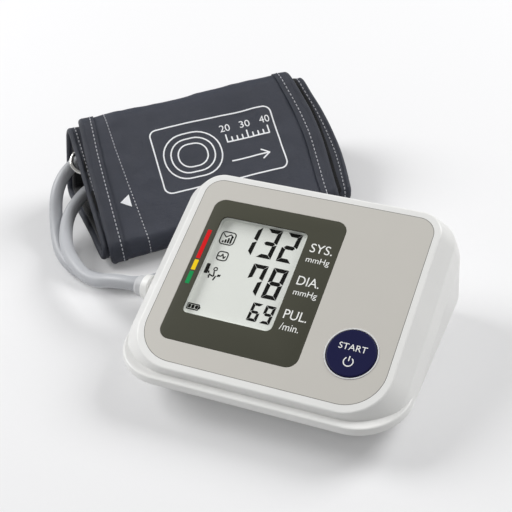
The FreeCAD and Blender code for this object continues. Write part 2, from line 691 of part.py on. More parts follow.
# ---------------------------------------------------------------- button
def make_start_button():
    """Round cap with a flange that keeps it in and a stem to the switch."""
    flange_top = WALL * COS + 0.2
    switch_top = BOARD_DEPTH - SWITCH_HEIGHT
    stem_end = switch_top - BUTTON_TRAVEL - 0.1
    radius = BUTTON_RADIUS
    stem = BUTTON_STEM / 2
    profile = [(-stem_end, 0.0), (-stem_end, stem), (-flange_top - FLANGE_THICKNESS, stem),
               (-flange_top - FLANGE_THICKNESS, radius + FLANGE_WIDTH),
               (-flange_top, radius + FLANGE_WIDTH), (-flange_top, radius),
               (BUTTON_PROUD - 0.5, radius), (BUTTON_PROUD - 0.15, radius - 0.2),
               (BUTTON_PROUD, radius - 0.6), (BUTTON_PROUD - 0.15, 0.0)]
    return moved(revolved(profile, Vector(BUTTON_X, BUTTON_UP, 0), Vector(0, 0, 1)), PANEL_FRAME)


def make_tact_switch():
    """Snap switch under the button's stem."""
    half = SWITCH_SIZE / 2
    low = -BOARD_DEPTH
    shelf = low + SWITCH_HEIGHT - SWITCH_KEY_HEIGHT
    body = block(BUTTON_X - half, BUTTON_X + half, BUTTON_UP - half, BUTTON_UP + half, low, shelf)
    key = rod(SWITCH_KEY, SWITCH_KEY_HEIGHT, Vector(BUTTON_X, BUTTON_UP, shelf), Vector(0, 0, 1))
    return moved(fused(body, [key]), PANEL_FRAME)


# ---------------------------------------------------------------- power
def make_batteries():
    """Four cells side by side, each turned round from the last."""
    cells = []
    for index in range(CELL_COUNT):
        turn = 1 if index % 2 else -1
        start = BAY_FRONT + CONTACT_SPACE + (0.0 if turn > 0 else CELL_LENGTH)
        profile = [(0.0, 0.0), (0.0, CELL_DIAMETER / 2 - 0.4), (0.4, CELL_DIAMETER / 2),
                   (CELL_LENGTH - 1.8, CELL_DIAMETER / 2), (CELL_LENGTH - 1.4, CELL_DIAMETER / 2 - 0.5),
                   (CELL_LENGTH - 1.4, 2.7), (CELL_LENGTH, 2.7), (CELL_LENGTH, 0.0)]
        cells.append(revolved(profile, Vector(cell_x(index), start, CELL_HEIGHT),
                              Vector(0, turn, 0)))
    return Part.makeCompound(cells)


def make_battery_contacts():
    """Plates at the nose ends and conical springs at the flat ends."""
    pieces = []
    for index in range(CELL_COUNT):
        x = cell_x(index)
        spring_rear = index % 2 == 0
        for rear in (True, False):
            wall = BAY_REAR if rear else BAY_FRONT
            inward = -1 if rear else 1
            face = wall + inward * PLATE_THICKNESS
            plate = block(x - PLATE_HALF, x + PLATE_HALF, min(wall, face), max(wall, face),
                          CELL_HEIGHT - PLATE_HALF, CELL_HEIGHT + PLATE_HALF)
            reach = CONTACT_SPACE - PLATE_THICKNESS
            start = Vector(x, face, CELL_HEIGHT)
            along = Vector(0, inward, 0)
            contact = Part.makeCone(NOSE_BASE / 2, NOSE_TIP / 2, reach, start, along)
            if rear == spring_rear:
                wide = SPRING_BASE / 2
                slim = SPRING_TIP / 2
                hollow = Part.makeCone(wide - SPRING_WIRE, slim - SPRING_WIRE, reach, start, along)
                contact = Part.makeCone(wide, slim, reach, start, along).cut(hollow)
            pieces.append(fused(plate, [contact]))
    return Part.makeCompound(pieces)


def make_battery_cover():
    """Sliding cover under the bay, with a lip up the back and a finger grip."""
    left = BAY_LEFT - COVER_BORDER
    right = BAY_RIGHT + COVER_BORDER
    plate = block(left, right, COVER_FRONT, LONG, TUB_HEIGHT_GAP, COVER_TOP)
    lip_front = BAY_REAR + WALL + 2 * COVER_GAP
    lip = block(left, right, lip_front, LONG, TUB_HEIGHT_GAP, TUB_HEIGHT_GAP + COVER_LIP)
    cover = fused(plate, [lip]).common(tub_form(0.0))
    for row in range(GRIP_COUNT):
        y = COVER_REAR - GRIP_MARGIN - row * GRIP_PITCH
        groove = block(BAY_X - GRIP_WIDTH / 2, BAY_X + GRIP_WIDTH / 2, y, y + GRIP_PITCH / 2,
                       0.0, TUB_HEIGHT_GAP + GRIP_DEPTH)
        cover = cover.cut(groove)
    return cover


JACK_REAR = HOUSING_DEPTH / 2 - JACK_SINK
JACK_Z = BAY_ROOF + WALL + JACK_OVER_BAY + JACK_DIAMETER / 2


def dc_jack_body():
    """Outer form of the power inlet, out to the rear face."""
    return rod(JACK_DIAMETER, JACK_DEPTH, Vector(JACK_X, JACK_REAR, JACK_Z), Vector(0, -1, 0))


def make_dc_jack():
    """Power inlet in the rear wall, with its centre pin."""
    floor = JACK_REAR - JACK_DEPTH + 2.0
    bore = rod(JACK_BORE, JACK_DEPTH, Vector(JACK_X, floor, JACK_Z), Vector(0, 1, 0))
    pin = rod(JACK_PIN, JACK_DEPTH - 3.0, Vector(JACK_X, floor - TINY, JACK_Z), Vector(0, 1, 0))
    return fused(dc_jack_body().cut(bore), [pin])


# ---------------------------------------------------------------- pneumatics
SOCKET_FACE = -HOUSING_WIDTH / 2 + 1.2
PUMP_Z = TUB_HEIGHT_GAP + WALL + max(PUMP_HEAD_SIZE / 2, PUMP_DIAMETER / 2 + PUMP_CUSHION)
PUMP_REAR = HOUSING_DEPTH / 2 - WALL - TUB_BASE_REAR - 2.0
PUMP_FRONT = PUMP_REAR - PUMP_MOTOR_LENGTH - PUMP_HEAD_LENGTH


def make_air_socket():
    """Socket in the left wall that the cuff's plug pushes into."""
    inner = -SPIGOT_LENGTH - 1.0
    profile = [(0.0, SPIGOT_DIAMETER / 2 + SPIGOT_GAP), (0.0, SOCKET_DIAMETER / 2),
               (2.6, SOCKET_DIAMETER / 2), (2.6, SOCKET_DIAMETER / 2 - 1.2),
               (SOCKET_DEPTH, SOCKET_DIAMETER / 2 - 1.2), (SOCKET_DEPTH, BORE_DIAMETER / 2),
               (-inner, BORE_DIAMETER / 2), (-inner, SPIGOT_DIAMETER / 2 + SPIGOT_GAP)]
    return revolved(profile, Vector(SOCKET_FACE, PLUG_Y, PLUG_Z), Vector(1, 0, 0))


def make_air_manifold():
    """Tee that joins the socket to the pump, the valves and the sensor."""
    start = SOCKET_FACE + SOCKET_DEPTH
    body = rod(MANIFOLD_DIAMETER, MANIFOLD_LENGTH, Vector(start, PLUG_Y, PLUG_Z), Vector(1, 0, 0))
    fork = Vector(start + BRANCH_PLACE, PLUG_Y, PLUG_Z)
    down = rod(INNER_TUBE - 1.0, BRANCH_LENGTH, fork, Vector(0, 0, -1))
    back = rod(INNER_TUBE - 1.0, BRANCH_LENGTH, fork, Vector(0, 1, 0))
    return fused(body, [down, back])


def make_pump_tube():
    """Rubber tube from the manifold round the bay to the pump."""
    start = Vector(SOCKET_FACE + SOCKET_DEPTH + BRANCH_PLACE, PLUG_Y, PLUG_Z - BRANCH_LENGTH)
    floor = TUB_HEIGHT_GAP + WALL + INNER_TUBE
    front = BAY_FRONT - WALL - 2 * INNER_TUBE
    nozzle = PUMP_FRONT - NOZZLE_LENGTH
    points = [start, Vector(start.x, PLUG_Y, floor + 0.5), Vector(start.x + 4.0, front, floor),
              Vector(PUMP_X - 12.0, front - 1.0, floor + 1.0),
              Vector(PUMP_X, nozzle - 2 * INNER_TUBE, PUMP_Z), Vector(PUMP_X, nozzle, PUMP_Z)]
    return swept_tube(points, INNER_TUBE)[0]


def make_valve_tube():
    """Short rubber tube from the manifold to the exhaust valve."""
    start = Vector(SOCKET_FACE + SOCKET_DEPTH + BRANCH_PLACE, PLUG_Y + BRANCH_LENGTH, PLUG_Z)
    return rod(INNER_TUBE, VALVE_FRONT - start.y, start, Vector(0, 1, 0))


VALVE_X = SOCKET_FACE + SOCKET_DEPTH + BRANCH_PLACE
VALVE_LOW = PLUG_Z - VALVE_SIZE / 2


def make_exhaust_valve():
    """Solenoid valve that empties the cuff at the end of a reading."""
    half = VALVE_SIZE / 2
    body = block(VALVE_X - half, VALVE_X + half, VALVE_FRONT, VALVE_FRONT + VALVE_LENGTH,
                 VALVE_LOW, PLUG_Z + half)
    coil = rod(0.75 * VALVE_SIZE, 3.0, Vector(VALVE_X, VALVE_FRONT + VALVE_LENGTH, PLUG_Z),
               Vector(0, 1, 0))
    return fused(body, [coil])


def make_valve_bracket():
    """Bent steel bracket that holds the exhaust valve over the tub's floor."""
    half = VALVE_SIZE / 2
    floor = TUB_HEIGHT_GAP + WALL
    back = VALVE_FRONT + VALVE_LENGTH - 6.0
    top = block(VALVE_X - half, VALVE_X + half, VALVE_FRONT, back, VALVE_LOW - VALVE_PLATE,
                VALVE_LOW)
    leg = block(VALVE_X - half, VALVE_X + half, VALVE_FRONT, VALVE_FRONT + VALVE_PLATE, floor,
                VALVE_LOW)
    toe = block(VALVE_X - half, VALVE_X + half, VALVE_FRONT, back, floor, floor + VALVE_PLATE)
    return fused(top, [leg, toe])


def make_leak_valve():
    """Slow leak valve that lets the pressure fall evenly."""
    radius = LEAK_DIAMETER / 2
    step = LEAK_HEIGHT * 2 / 3
    profile = [(0.0, 0.0), (0.0, radius), (step, radius), (step, radius * 2 / 3),
               (LEAK_HEIGHT, radius * 2 / 3), (LEAK_HEIGHT, 0.0)]
    place = Vector(VALVE_X + LEAK_BEHIND, VALVE_FRONT + VALVE_LENGTH + LEAK_BEHIND,
                   TUB_HEIGHT_GAP + WALL)
    return revolved(profile, place, Vector(0, 0, 1))


def make_pressure_sensor():
    """Sensor cell on the board, with its nipple."""
    half = SENSOR_SIZE / 2
    face = BOARD_UNDER - SENSOR_HEIGHT
    cell = block(SENSOR_X - half, SENSOR_X + half, SENSOR_UP - half, SENSOR_UP + half,
                 face, BOARD_UNDER)
    nipple = rod(SENSOR_SIZE / 3, SENSOR_HEIGHT, Vector(SENSOR_X, SENSOR_UP, face),
                 Vector(0, 0, -1))
    return moved(fused(cell, [nipple]), PANEL_FRAME)


def make_pump_motor():
    """Motor can with its tail bearing."""
    start = Vector(PUMP_X, PUMP_FRONT + PUMP_HEAD_LENGTH, PUMP_Z)
    radius = PUMP_DIAMETER / 2
    profile = [(0.0, 0.0), (0.0, radius), (PUMP_MOTOR_LENGTH - 3.0, radius),
               (PUMP_MOTOR_LENGTH - 2.0, radius - 1.0), (PUMP_MOTOR_LENGTH - 2.0, 4.0),
               (PUMP_MOTOR_LENGTH, 4.0), (PUMP_MOTOR_LENGTH, 0.0)]
    return revolved(profile, start, Vector(0, 1, 0))


def make_pump_head():
    """Diaphragm head in front of the motor, with its nozzle."""
    half = PUMP_HEAD_SIZE / 2
    body = rounded_block(-half, half, -half, half, 0.0, PUMP_HEAD_LENGTH, 5.0)
    turned = moved(body, Placement(Vector(PUMP_X, PUMP_FRONT, PUMP_Z),
                                   Rotation(Vector(0, 0, 1), Vector(0, 1, 0))))
    nozzle = rod(INNER_TUBE - 1.0, NOZZLE_LENGTH,
                 Vector(PUMP_X, PUMP_FRONT - NOZZLE_LENGTH, PUMP_Z), Vector(0, 1, 0))
    return fused(turned, [nozzle])


def make_pump_cushion():
    """Foam sleeve that keeps the motor's hum out of the case."""
    start = Vector(PUMP_X, PUMP_FRONT + PUMP_HEAD_LENGTH + CUSHION_START, PUMP_Z)
    outer = rod(PUMP_DIAMETER + 2 * PUMP_CUSHION, CUSHION_LENGTH, start, Vector(0, 1, 0))
    return outer.cut(rod(PUMP_DIAMETER, CUSHION_LENGTH, start, Vector(0, 1, 0)))


# ---------------------------------------------------------------- fixings
def make_rubber_feet():
    """Four feet in the tub's recesses."""
    feet = []
    for x, y in foot_places():
        profile = [(0.0, 0.0), (0.0, FOOT_DIAMETER / 2 - 0.8), (0.8, FOOT_DIAMETER / 2),
                   (TUB_HEIGHT_GAP + FOOT_RECESS, FOOT_DIAMETER / 2),
                   (TUB_HEIGHT_GAP + FOOT_RECESS, 0.0)]
        feet.append(revolved(profile, Vector(x, y, 0), Vector(0, 0, 1)))
    return Part.makeCompound(feet)


def make_case_screws():
    """Four screws that hold the case halves together."""
    screws = []
    low = TUB_HEIGHT_GAP + SCREW_SINK
    for x, y in screw_places():
        profile = [(0.0, 0.0), (0.0, SCREW_HEAD / 2 - 0.4), (0.4, SCREW_HEAD / 2),
                   (SCREW_HEAD_HEIGHT, SCREW_HEAD / 2), (SCREW_HEAD_HEIGHT, SCREW_DIAMETER / 2),
                   (SPLIT_HEIGHT + 5.0 - low, SCREW_DIAMETER / 2), (SPLIT_HEIGHT + 5.0 - low, 0.0)]
        screws.append(revolved(profile, Vector(x, y, low), Vector(0, 0, 1)))
    return Part.makeCompound(screws)


# ---------------------------------------------------------------- plug and hose
def make_air_plug():
    """White plug: a grip outside the wall and a spigot inside the socket."""
    radius = PLUG_DIAMETER / 2
    wall = SOCKET_FACE - FACE_GAP
    neck = SOCKET_DIAMETER / 2 - FACE_GAP
    profile = [(-SPIGOT_LENGTH, 0.0), (-SPIGOT_LENGTH, SPIGOT_DIAMETER / 2 - 0.5),
               (-SPIGOT_LENGTH + 1.0, SPIGOT_DIAMETER / 2), (0.0, SPIGOT_DIAMETER / 2),
               (0.0, neck), (PLUG_NECK, neck), (PLUG_NECK, radius - 0.3),
               (PLUG_NECK + 0.6, radius), (PLUG_LENGTH - 0.6, radius - 0.4),
               (PLUG_LENGTH, radius - 1.0), (PLUG_LENGTH, 0.0)]
    return revolved(profile, Vector(wall, PLUG_Y, PLUG_Z), Vector(-1, 0, 0))


def make_plug_collar():
    """Grey collar between the plug and the hose."""
    radius = COLLAR_DIAMETER / 2
    start = Vector(SOCKET_FACE - FACE_GAP - PLUG_LENGTH, PLUG_Y, PLUG_Z)
    profile = [(0.0, 0.0), (0.0, radius), (COLLAR_LENGTH - 1.2, radius - 0.2),
               (COLLAR_LENGTH, radius - 1.0), (COLLAR_LENGTH, 0.0)]
    return revolved(profile, start, Vector(-1, 0, 0))


HOSE_START = Vector(SOCKET_FACE - FACE_GAP - PLUG_LENGTH - COLLAR_LENGTH, PLUG_Y, PLUG_Z)
HOSE_OUTSIDE = [(-90.0, -3.0, 24.5), (-109.0, -0.5, 16.6), (-128.3, 12.6, 15.6),
                (-142.1, 28.4, 14.0), (-150.8, 48.4, 16.4), (-146.8, 68.9, 20.6)]
HOSE_IN_ROLL = [(20.5, 12.3, 21.5), (40.0, -6.0, 14.5), (61.0, -21.5, 13.0), (84.0, -23.0, 13.0),
                (100.5, -7.5, 13.0), (100.0, 14.5, 13.0), (84.0, 28.5, 14.5), (62.0, 27.5, 15.0),
                (37.0, 26.5, 20.5), (14.5, 27.5, 28.5)]
HOSE_BACK = [(-158.1, 74.4, 32.0), (-161.8, 55.5, 25.2), (-154.8, 38.7, 10.5),
             (-144.0, 26.0, 5.0), (-124.0, 17.5, 4.8), (-102.0, 15.5, 4.5), (-84.0, 26.5, 4.0),
             (-77.0, 46.0, 4.5)]
HOSE_LEAD = 18.0             # straight run into the port


def hose_route():
    """The hose's points: plug, roll, back out, along the table to the port."""
    route = [HOSE_START] + [Vector(*point) for point in HOSE_OUTSIDE]
    route += [cuff_point(*point) for point in HOSE_IN_ROLL]
    route += [Vector(*point) for point in HOSE_BACK]
    mouth = PORT_ALONG - PORT_NOZZLE
    route.append(cuff_point(mouth - HOSE_LEAD, -CUFF_HALF_DEPTH - PORT_REACH, PORT_HEIGHT))
    route.append(cuff_point(mouth, -CUFF_HALF_DEPTH - PORT_REACH, PORT_HEIGHT))
    return route


def make_air_hose():
    """Soft tube of the cuff, one length from the plug to the cuff's port."""
    route = hose_route()
    solid, path, radii = swept_tube(route, HOSE_DIAMETER)
    section = math.pi * HOSE_DIAMETER ** 2 / 4
    print("hose length %.1f mm, volume ratio %.4f, least radius %.1f mm"
          % (path.Length, solid.Volume / (section * path.Length), min(radii)))
    print("hose radii " + " ".join("%.0f" % radius for radius in radii))
    return solid


# ---------------------------------------------------------------- cuff
def roll_corners(inset):
    """Corners of the roll's section (across, height), drawn in by an inset."""
    left = -CUFF_HALF_DEPTH + inset
    right = CUFF_HALF_DEPTH - inset
    rise = (CUFF_HIGH_HEIGHT - CUFF_LOW_HEIGHT) / (2 * CUFF_HALF_DEPTH)
    lift = inset * math.hypot(1.0, rise)

    def top(across):
        return CUFF_LOW_HEIGHT + (across + CUFF_HALF_DEPTH) * rise - lift

    corners = [(left, inset), (right, inset), (right, top(right)), (left, top(left))]
    least = 3 * NOSE_LEAST
    if top(left) - inset < least:
        meet = (least + inset + lift - CUFF_LOW_HEIGHT) / rise - CUFF_HALF_DEPTH
        corners = [(meet, inset), (right, inset), (right, top(right)), (meet, top(meet))]
    return corners


def roll_solid(inset, start, end):
    """The roll's section, drawn in by an inset, between two places along it."""
    corners = [Vector(start, across, height) for across, height in roll_corners(inset)]
    gap = corners[3].z - corners[0].z
    nose = max(min(CUFF_NOSE_RADIUS - inset, gap * NOSE_SHARE), NOSE_LEAST)
    toe = max(min(CUFF_TOE_RADIUS - inset, gap * TOE_SHARE), NOSE_LEAST)
    radii = [toe, max(CUFF_HEEL_RADIUS - inset, HEEL_LEAST),
             max(CUFF_CREST_RADIUS - inset, CREST_LEAST), nose]
    wire = rounded_polygon(corners, radii)
    return moved(solid_between(wire, Vector(end - start, 0, 0)), CUFF_FRAME)


def make_cuff_outer_wrap():
    """Outside turn of the rolled cuff."""
    outer = roll_solid(0.0, 0.0, CUFF_WIDTH)
    return outer.cut(roll_solid(OUTER_WRAP, -1.0, CUFF_WIDTH + 1.0))


def bladder_block(grow):
    """Flat bag under the outside turn, on the roll's sloping top."""
    rise = (CUFF_HIGH_HEIGHT - CUFF_LOW_HEIGHT) / (2 * CUFF_HALF_DEPTH)
    length = math.hypot(1.0, rise)
    start = CUFF_LOW_HEIGHT + BLADDER_START * rise - OUTER_WRAP * length
    slab = Part.makeBox(CUFF_WIDTH - 2 * (BLADDER_MARGIN - grow), BLADDER_WIDTH + 2 * grow,
                        BLADDER_THICKNESS + grow,
                        Vector(BLADDER_MARGIN - grow, -grow, -BLADDER_THICKNESS - grow))
    tilt = Placement(Vector(0, -CUFF_HALF_DEPTH + BLADDER_START, start),
                     Rotation(Vector(1, 0, 0), math.degrees(math.atan(rise))))
    return moved(slab, CUFF_FRAME.multiply(tilt))


def slope_frame(along, across, depth):
    """A frame on the roll's sloping top, at a depth under its surface."""
    rise = (CUFF_HIGH_HEIGHT - CUFF_LOW_HEIGHT) / (2 * CUFF_HALF_DEPTH)
    height = CUFF_LOW_HEIGHT + (across + CUFF_HALF_DEPTH) * rise - depth * math.hypot(1.0, rise)
    tilt = Rotation(Vector(1, 0, 0), math.degrees(math.atan(rise)))
    return CUFF_FRAME.multiply(Placement(Vector(along, across, height), tilt))


def make_cuff_inner_wrap():
    """Inner turns, which stand out at both ends, and most at the left one's foot."""
    end = CUFF_WIDTH + INNER_RIGHT
    lean = Placement(Vector(0, 0, 0), Rotation(Vector(0, 1, 0), INNER_LEAN))
    edge = slope_frame(-INNER_LEFT, -CUFF_HALF_DEPTH, OUTER_WRAP).multiply(lean)
    beyond = moved(block(-LONG, 0.0, -LONG, LONG, -LONG, LONG), edge)
    foot = -INNER_LEFT - CUFF_HIGH_HEIGHT * math.tan(math.radians(INNER_LEAN))
    outer = roll_solid(OUTER_WRAP, foot, end).cut(beyond)
    hollow = roll_solid(OUTER_WRAP + INNER_WRAP, foot - 1.0, end + 1.0)
    return outer.cut(hollow).cut(bladder_block(BLADDER_PLAY))


def ring_frame():
    """Frame of the ring: its middle line along the roll, flat to the inner top."""
    depth = OUTER_WRAP + INNER_WRAP + RING_WIRE / 2 + RING_PLAY + SLEEVE_WALL
    return slope_frame(0.0, RING_ACROSS, depth)


def make_cuff_ring():
    """Long wire loop that the cuff's free end passes through."""
    half = RING_WIDTH / 2
    left = -RING_OUT + half
    right = CUFF_WIDTH + RING_OUT - half
    wire = RING_WIRE / 2
    sides = [rod(RING_WIRE, right - left, Vector(left, side * half, 0), Vector(1, 0, 0))
             for side in (-1, 1)]
    ends = [Part.makeTorus(half, wire, Vector(left, 0, 0), Vector(0, 0, 1), 0, 360, 180),
            Part.makeTorus(half, wire, Vector(right, 0, 0), Vector(0, 0, 1), 0, 360, 180)]
    ends[0].rotate(Vector(left, 0, 0), Vector(0, 0, 1), 90)
    ends[1].rotate(Vector(right, 0, 0), Vector(0, 0, 1), -90)
    return moved(fused(sides[0], [sides[1]] + ends), ring_frame())


def make_ring_sleeve():
    """Sewn sleeve that holds the ring's upper side to the roll."""
    half = RING_WIDTH / 2
    outer = rod(RING_WIRE + 2 * (RING_PLAY + SLEEVE_WALL), CUFF_WIDTH - 2 * SLEEVE_MARGIN,
                Vector(SLEEVE_MARGIN, half, 0), Vector(1, 0, 0))
    bore = rod(RING_WIRE + 2 * RING_PLAY, CUFF_WIDTH, Vector(0.0, half, 0), Vector(1, 0, 0))
    return moved(outer.cut(bore), ring_frame())


def make_hose_port():
    """Elbow on the cuff's low edge that the hose ends in."""
    across = -CUFF_HALF_DEPTH - PORT_REACH
    mouth = PORT_ALONG - PORT_NOZZLE
    root = Vector(PORT_ALONG, -CUFF_HALF_DEPTH, PORT_HEIGHT)
    flange = rod(PORT_FLANGE, 1.4, root, Vector(0, -1, 0))
    neck = rod(HOSE_DIAMETER, PORT_REACH, root, Vector(0, -1, 0))
    knee = Part.makeSphere(HOSE_DIAMETER / 2 + 0.5, Vector(PORT_ALONG, across, PORT_HEIGHT))
    nozzle = rod(HOSE_DIAMETER + 1.0, PORT_NOZZLE, Vector(mouth, across, PORT_HEIGHT),
                 Vector(1, 0, 0))
    return moved(fused(flange, [neck, knee, nozzle]), CUFF_FRAME)


# ---------------------------------------------------------------- output
PIECES = {
    "upper_case": make_upper_case,
    "lower_case": make_lower_case,
    "face_panel": make_face_panel,
    "display_window": make_display_window,
    "lcd_glass": make_lcd_glass,
    "lcd_holder": make_lcd_holder,
    "contact_strips": make_contact_strips,
    "circuit_board": make_circuit_board,
    "board_screws": make_board_screws,
    "board_parts": make_board_parts,
    "buzzer": make_buzzer,
    "start_button": make_start_button,
    "tact_switch": make_tact_switch,
    "batteries": make_batteries,
    "battery_contacts": make_battery_contacts,
    "battery_cover": make_battery_cover,
    "dc_jack": make_dc_jack,
    "air_socket": make_air_socket,
    "air_manifold": make_air_manifold,
    "pump_tube": make_pump_tube,
    "valve_tube": make_valve_tube,
    "exhaust_valve": make_exhaust_valve,
    "valve_bracket": make_valve_bracket,
    "leak_valve": make_leak_valve,
    "pressure_sensor": make_pressure_sensor,
    "pump_motor": make_pump_motor,
    "pump_head": make_pump_head,
    "pump_cushion": make_pump_cushion,
    "rubber_feet": make_rubber_feet,
    "case_screws": make_case_screws,
    "air_plug": make_air_plug,
    "plug_collar": make_plug_collar,
    "air_hose": make_air_hose,
    "cuff_outer_wrap": make_cuff_outer_wrap,
    "cuff_inner_wrap": make_cuff_inner_wrap,
    "air_bladder": lambda: bladder_block(0.0),
    "cuff_ring": make_cuff_ring,
    "ring_sleeve": make_ring_sleeve,
    "hose_port": make_hose_port,
}

os.makedirs("parts", exist_ok=True)
for name, make in PIECES.items():
    shape = make()
    shape.exportStep("parts/%s.step" % name)
    box = shape.BoundBox
    print("%-18s solids %d valid %s volume %9.1f  x %.1f..%.1f y %.1f..%.1f z %.1f..%.1f"
          % (name, len(shape.Solids), shape.isValid(), shape.Volume, box.XMin, box.XMax,
             box.YMin, box.YMax, box.ZMin, box.ZMax))
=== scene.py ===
import math

import bmesh
import bpy
from bpy.props import FloatProperty, FloatVectorProperty, IntProperty, PointerProperty
from bpy.types import Operator, Panel, PropertyGroup, Scene
from mathutils import Matrix, Vector


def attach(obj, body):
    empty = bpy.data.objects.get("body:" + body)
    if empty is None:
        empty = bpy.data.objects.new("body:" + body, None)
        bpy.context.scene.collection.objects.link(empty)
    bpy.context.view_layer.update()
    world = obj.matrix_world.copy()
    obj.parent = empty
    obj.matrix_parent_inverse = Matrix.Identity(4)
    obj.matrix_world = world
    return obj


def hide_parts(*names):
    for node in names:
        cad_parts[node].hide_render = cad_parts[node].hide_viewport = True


bl_info = {
    "name": "Blood pressure monitor",
    "version": (1, 0, 0),
    "blender": (4, 5, 0),
    "location": "View3D > Sidebar > Monitor",
    "description": "Builds the looks of a desktop blood pressure monitor and its rolled cuff",
    "category": "Object",
}

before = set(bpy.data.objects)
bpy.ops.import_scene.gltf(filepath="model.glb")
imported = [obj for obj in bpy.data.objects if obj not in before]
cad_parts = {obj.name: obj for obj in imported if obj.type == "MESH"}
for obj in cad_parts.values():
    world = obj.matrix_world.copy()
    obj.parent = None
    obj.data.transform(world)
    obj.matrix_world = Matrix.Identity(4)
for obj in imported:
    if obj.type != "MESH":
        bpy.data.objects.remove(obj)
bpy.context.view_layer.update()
MM = 0.001


def mm(*values):
    """Millimetres as metres."""
    return tuple(value * MM for value in values)


def frame_of(origin, x, y, z):
    """A frame from its origin and its three axes."""
    return Matrix.Translation(origin) @ Matrix((x, y, z)).transposed().to_4x4()


# The face panel's own frame: across, up its slope, and out of its face.
PANEL = Matrix.Translation((0.0, -0.0457, 0.0254)) @ Matrix.Rotation(math.radians(20.0), 4, "X")

# The cuff roll.  Its section is drawn across and up, and Z runs along the roll.
CUFF_CORNER = Vector((-0.1369, 0.0579, 0.0))
CUFF_HEADING = math.radians(39.6)
CUFF_WIDTH = 0.123
CUFF_HALF = 0.041
CUFF_LOW = 0.017
CUFF_HIGH = 0.061
CUFF_RISE = (CUFF_HIGH - CUFF_LOW) / (2 * CUFF_HALF)
NOSE, TOE, HEEL, CREST = 0.0078, 0.0105, 0.011, 0.012
ALONG = Vector((math.cos(CUFF_HEADING), math.sin(CUFF_HEADING), 0.0))
ACROSS = Vector((-ALONG.y, ALONG.x, 0.0))
UP = Vector((0.0, 0.0, 1.0))
SECTION = frame_of(CUFF_CORNER, ACROSS, UP, ALONG)
UPHILL = (ACROSS + UP * CUFF_RISE).normalized()
SLOPE = frame_of(CUFF_CORNER - ACROSS * CUFF_HALF + UP * CUFF_LOW,
                 ALONG, UPHILL, ALONG.cross(UPHILL))


def by_roll(points):
    """Points given along, across and above the roll's corner."""
    return [CUFF_CORNER + ALONG * s + ACROSS * a + UP * h for s, a, h in points]


# The hose's points, from the plug through the roll and back to the cuff's port.
HOSE_START = (-0.0785, -0.003, 0.0245)
HOSE_ROUTE = [
    HOSE_START, (-0.09, -0.003, 0.0245), (-0.109, -0.0005, 0.0166),
    (-0.1283, 0.0126, 0.0156), (-0.1421, 0.0284, 0.014), (-0.1508, 0.0484, 0.0164),
    (-0.1468, 0.0689, 0.0206),
    *by_roll([(0.0205, 0.0123, 0.0215), (0.04, -0.006, 0.0145), (0.061, -0.0215, 0.013),
              (0.084, -0.023, 0.013), (0.1005, -0.0075, 0.013), (0.1, 0.0145, 0.013),
              (0.084, 0.0285, 0.0145), (0.062, 0.0275, 0.015), (0.037, 0.0265, 0.0205),
              (0.0145, 0.0275, 0.0285)]),
    (-0.1581, 0.0744, 0.032), (-0.1618, 0.0555, 0.0252), (-0.1548, 0.0387, 0.0105),
    (-0.143, 0.023, 0.0048), (-0.1225, 0.0132, 0.0045), (-0.1, 0.015, 0.0042),
    (-0.0835, 0.0228, 0.004), (-0.0768, 0.044, 0.0045),
    *by_roll([(0.058, -0.0466, 0.01), (0.076, -0.0466, 0.01)])]
HOSE_DIAMETER = 0.007


def linear(red, green, blue):
    """A colour given as the eye reads it, from 0 to 255, as the renderer wants it."""
    return tuple((v / 255 / 12.92) if v <= 10 else ((v / 255 + 0.055) / 1.055) ** 2.4
                 for v in (red, green, blue))


def colour(name, what, red, green, blue):
    """A colour that the sidebar shows."""
    return FloatVectorProperty(name=name, description="Colour of " + what, subtype="COLOR",
                               size=3, min=0.0, max=1.0, default=linear(red, green, blue))


def length(name, what, millimetres):
    """A length that the sidebar shows, given in millimetres."""
    return FloatProperty(name=name, description=what, unit="LENGTH", default=millimetres * MM)


class CaseSettings(PropertyGroup):
    """Colours and texture of the housing."""

    case: colour("Case", "the two case halves", 240, 240, 238)
    panel: colour("Panel", "the face panel", 205, 202, 195)
    button: colour("Button", "the round button", 14, 16, 64)
    grain: length("Texture", "Size of the moulded texture", 0.35)


class DisplaySettings(PropertyGroup):
    """What the display is made of and what it reads."""

    border: colour("Border", "the print round the display", 75, 75, 64)
    # Also the colour of the display ground's painted glow.
    glass: colour("Glass", "the liquid crystal's ground", 238, 241, 235)
    ink: colour("Segments", "a segment that is on", 9, 9, 5)
    upper: IntProperty(name="Upper", description="Upper reading", default=132, min=0, max=199)
    lower: IntProperty(name="Lower", description="Lower reading", default=78, min=0, max=99)
    pulse: IntProperty(name="Pulse", description="Beats a minute", default=69, min=0, max=99)
    stroke: length("Stroke", "Width of a segment of the large digits", 2.0)


class CuffSettings(PropertyGroup):
    """Cloth, bindings and stitches of the cuff."""

    cloth: colour("Cloth", "the coated cloth", 46, 50, 63)
    # Very dark: partly the lining's own colour, partly painted shade in the roll's opening.
    lining: colour("Lining", "the cloth's inner side", 13, 13, 16)
    thread: colour("Thread", "the stitches", 205, 206, 212)
    turn: length("Turn", "Thickness of the outside turn", 3.1)
    folds: length("Folds", "Depth of the cloth's shallow folds", 2.4)
    stitch: length("Stitch", "Length of one stitch", 1.4)
    pitch: length("Stitch pitch", "From one stitch to the next", 2.4)


class HoseSettings(PropertyGroup):
    """The air hose and its fittings."""

    hose: colour("Hose", "the hose", 184, 186, 190)
    collar: colour("Collar", "the plug's collar", 206, 207, 209)


class StageSettings(PropertyGroup):
    """Floor, lamps and camera."""

    floor: colour("Floor", "the floor", 224, 224, 225)
    key: FloatProperty(name="Lamps", description="Power of each", unit="POWER", default=15.5)
    fill: FloatProperty(name="Fill", description="Light from all round", default=0.31)
    lens: FloatProperty(name="Lens", description="Focal length", unit="CAMERA", default=76.03)


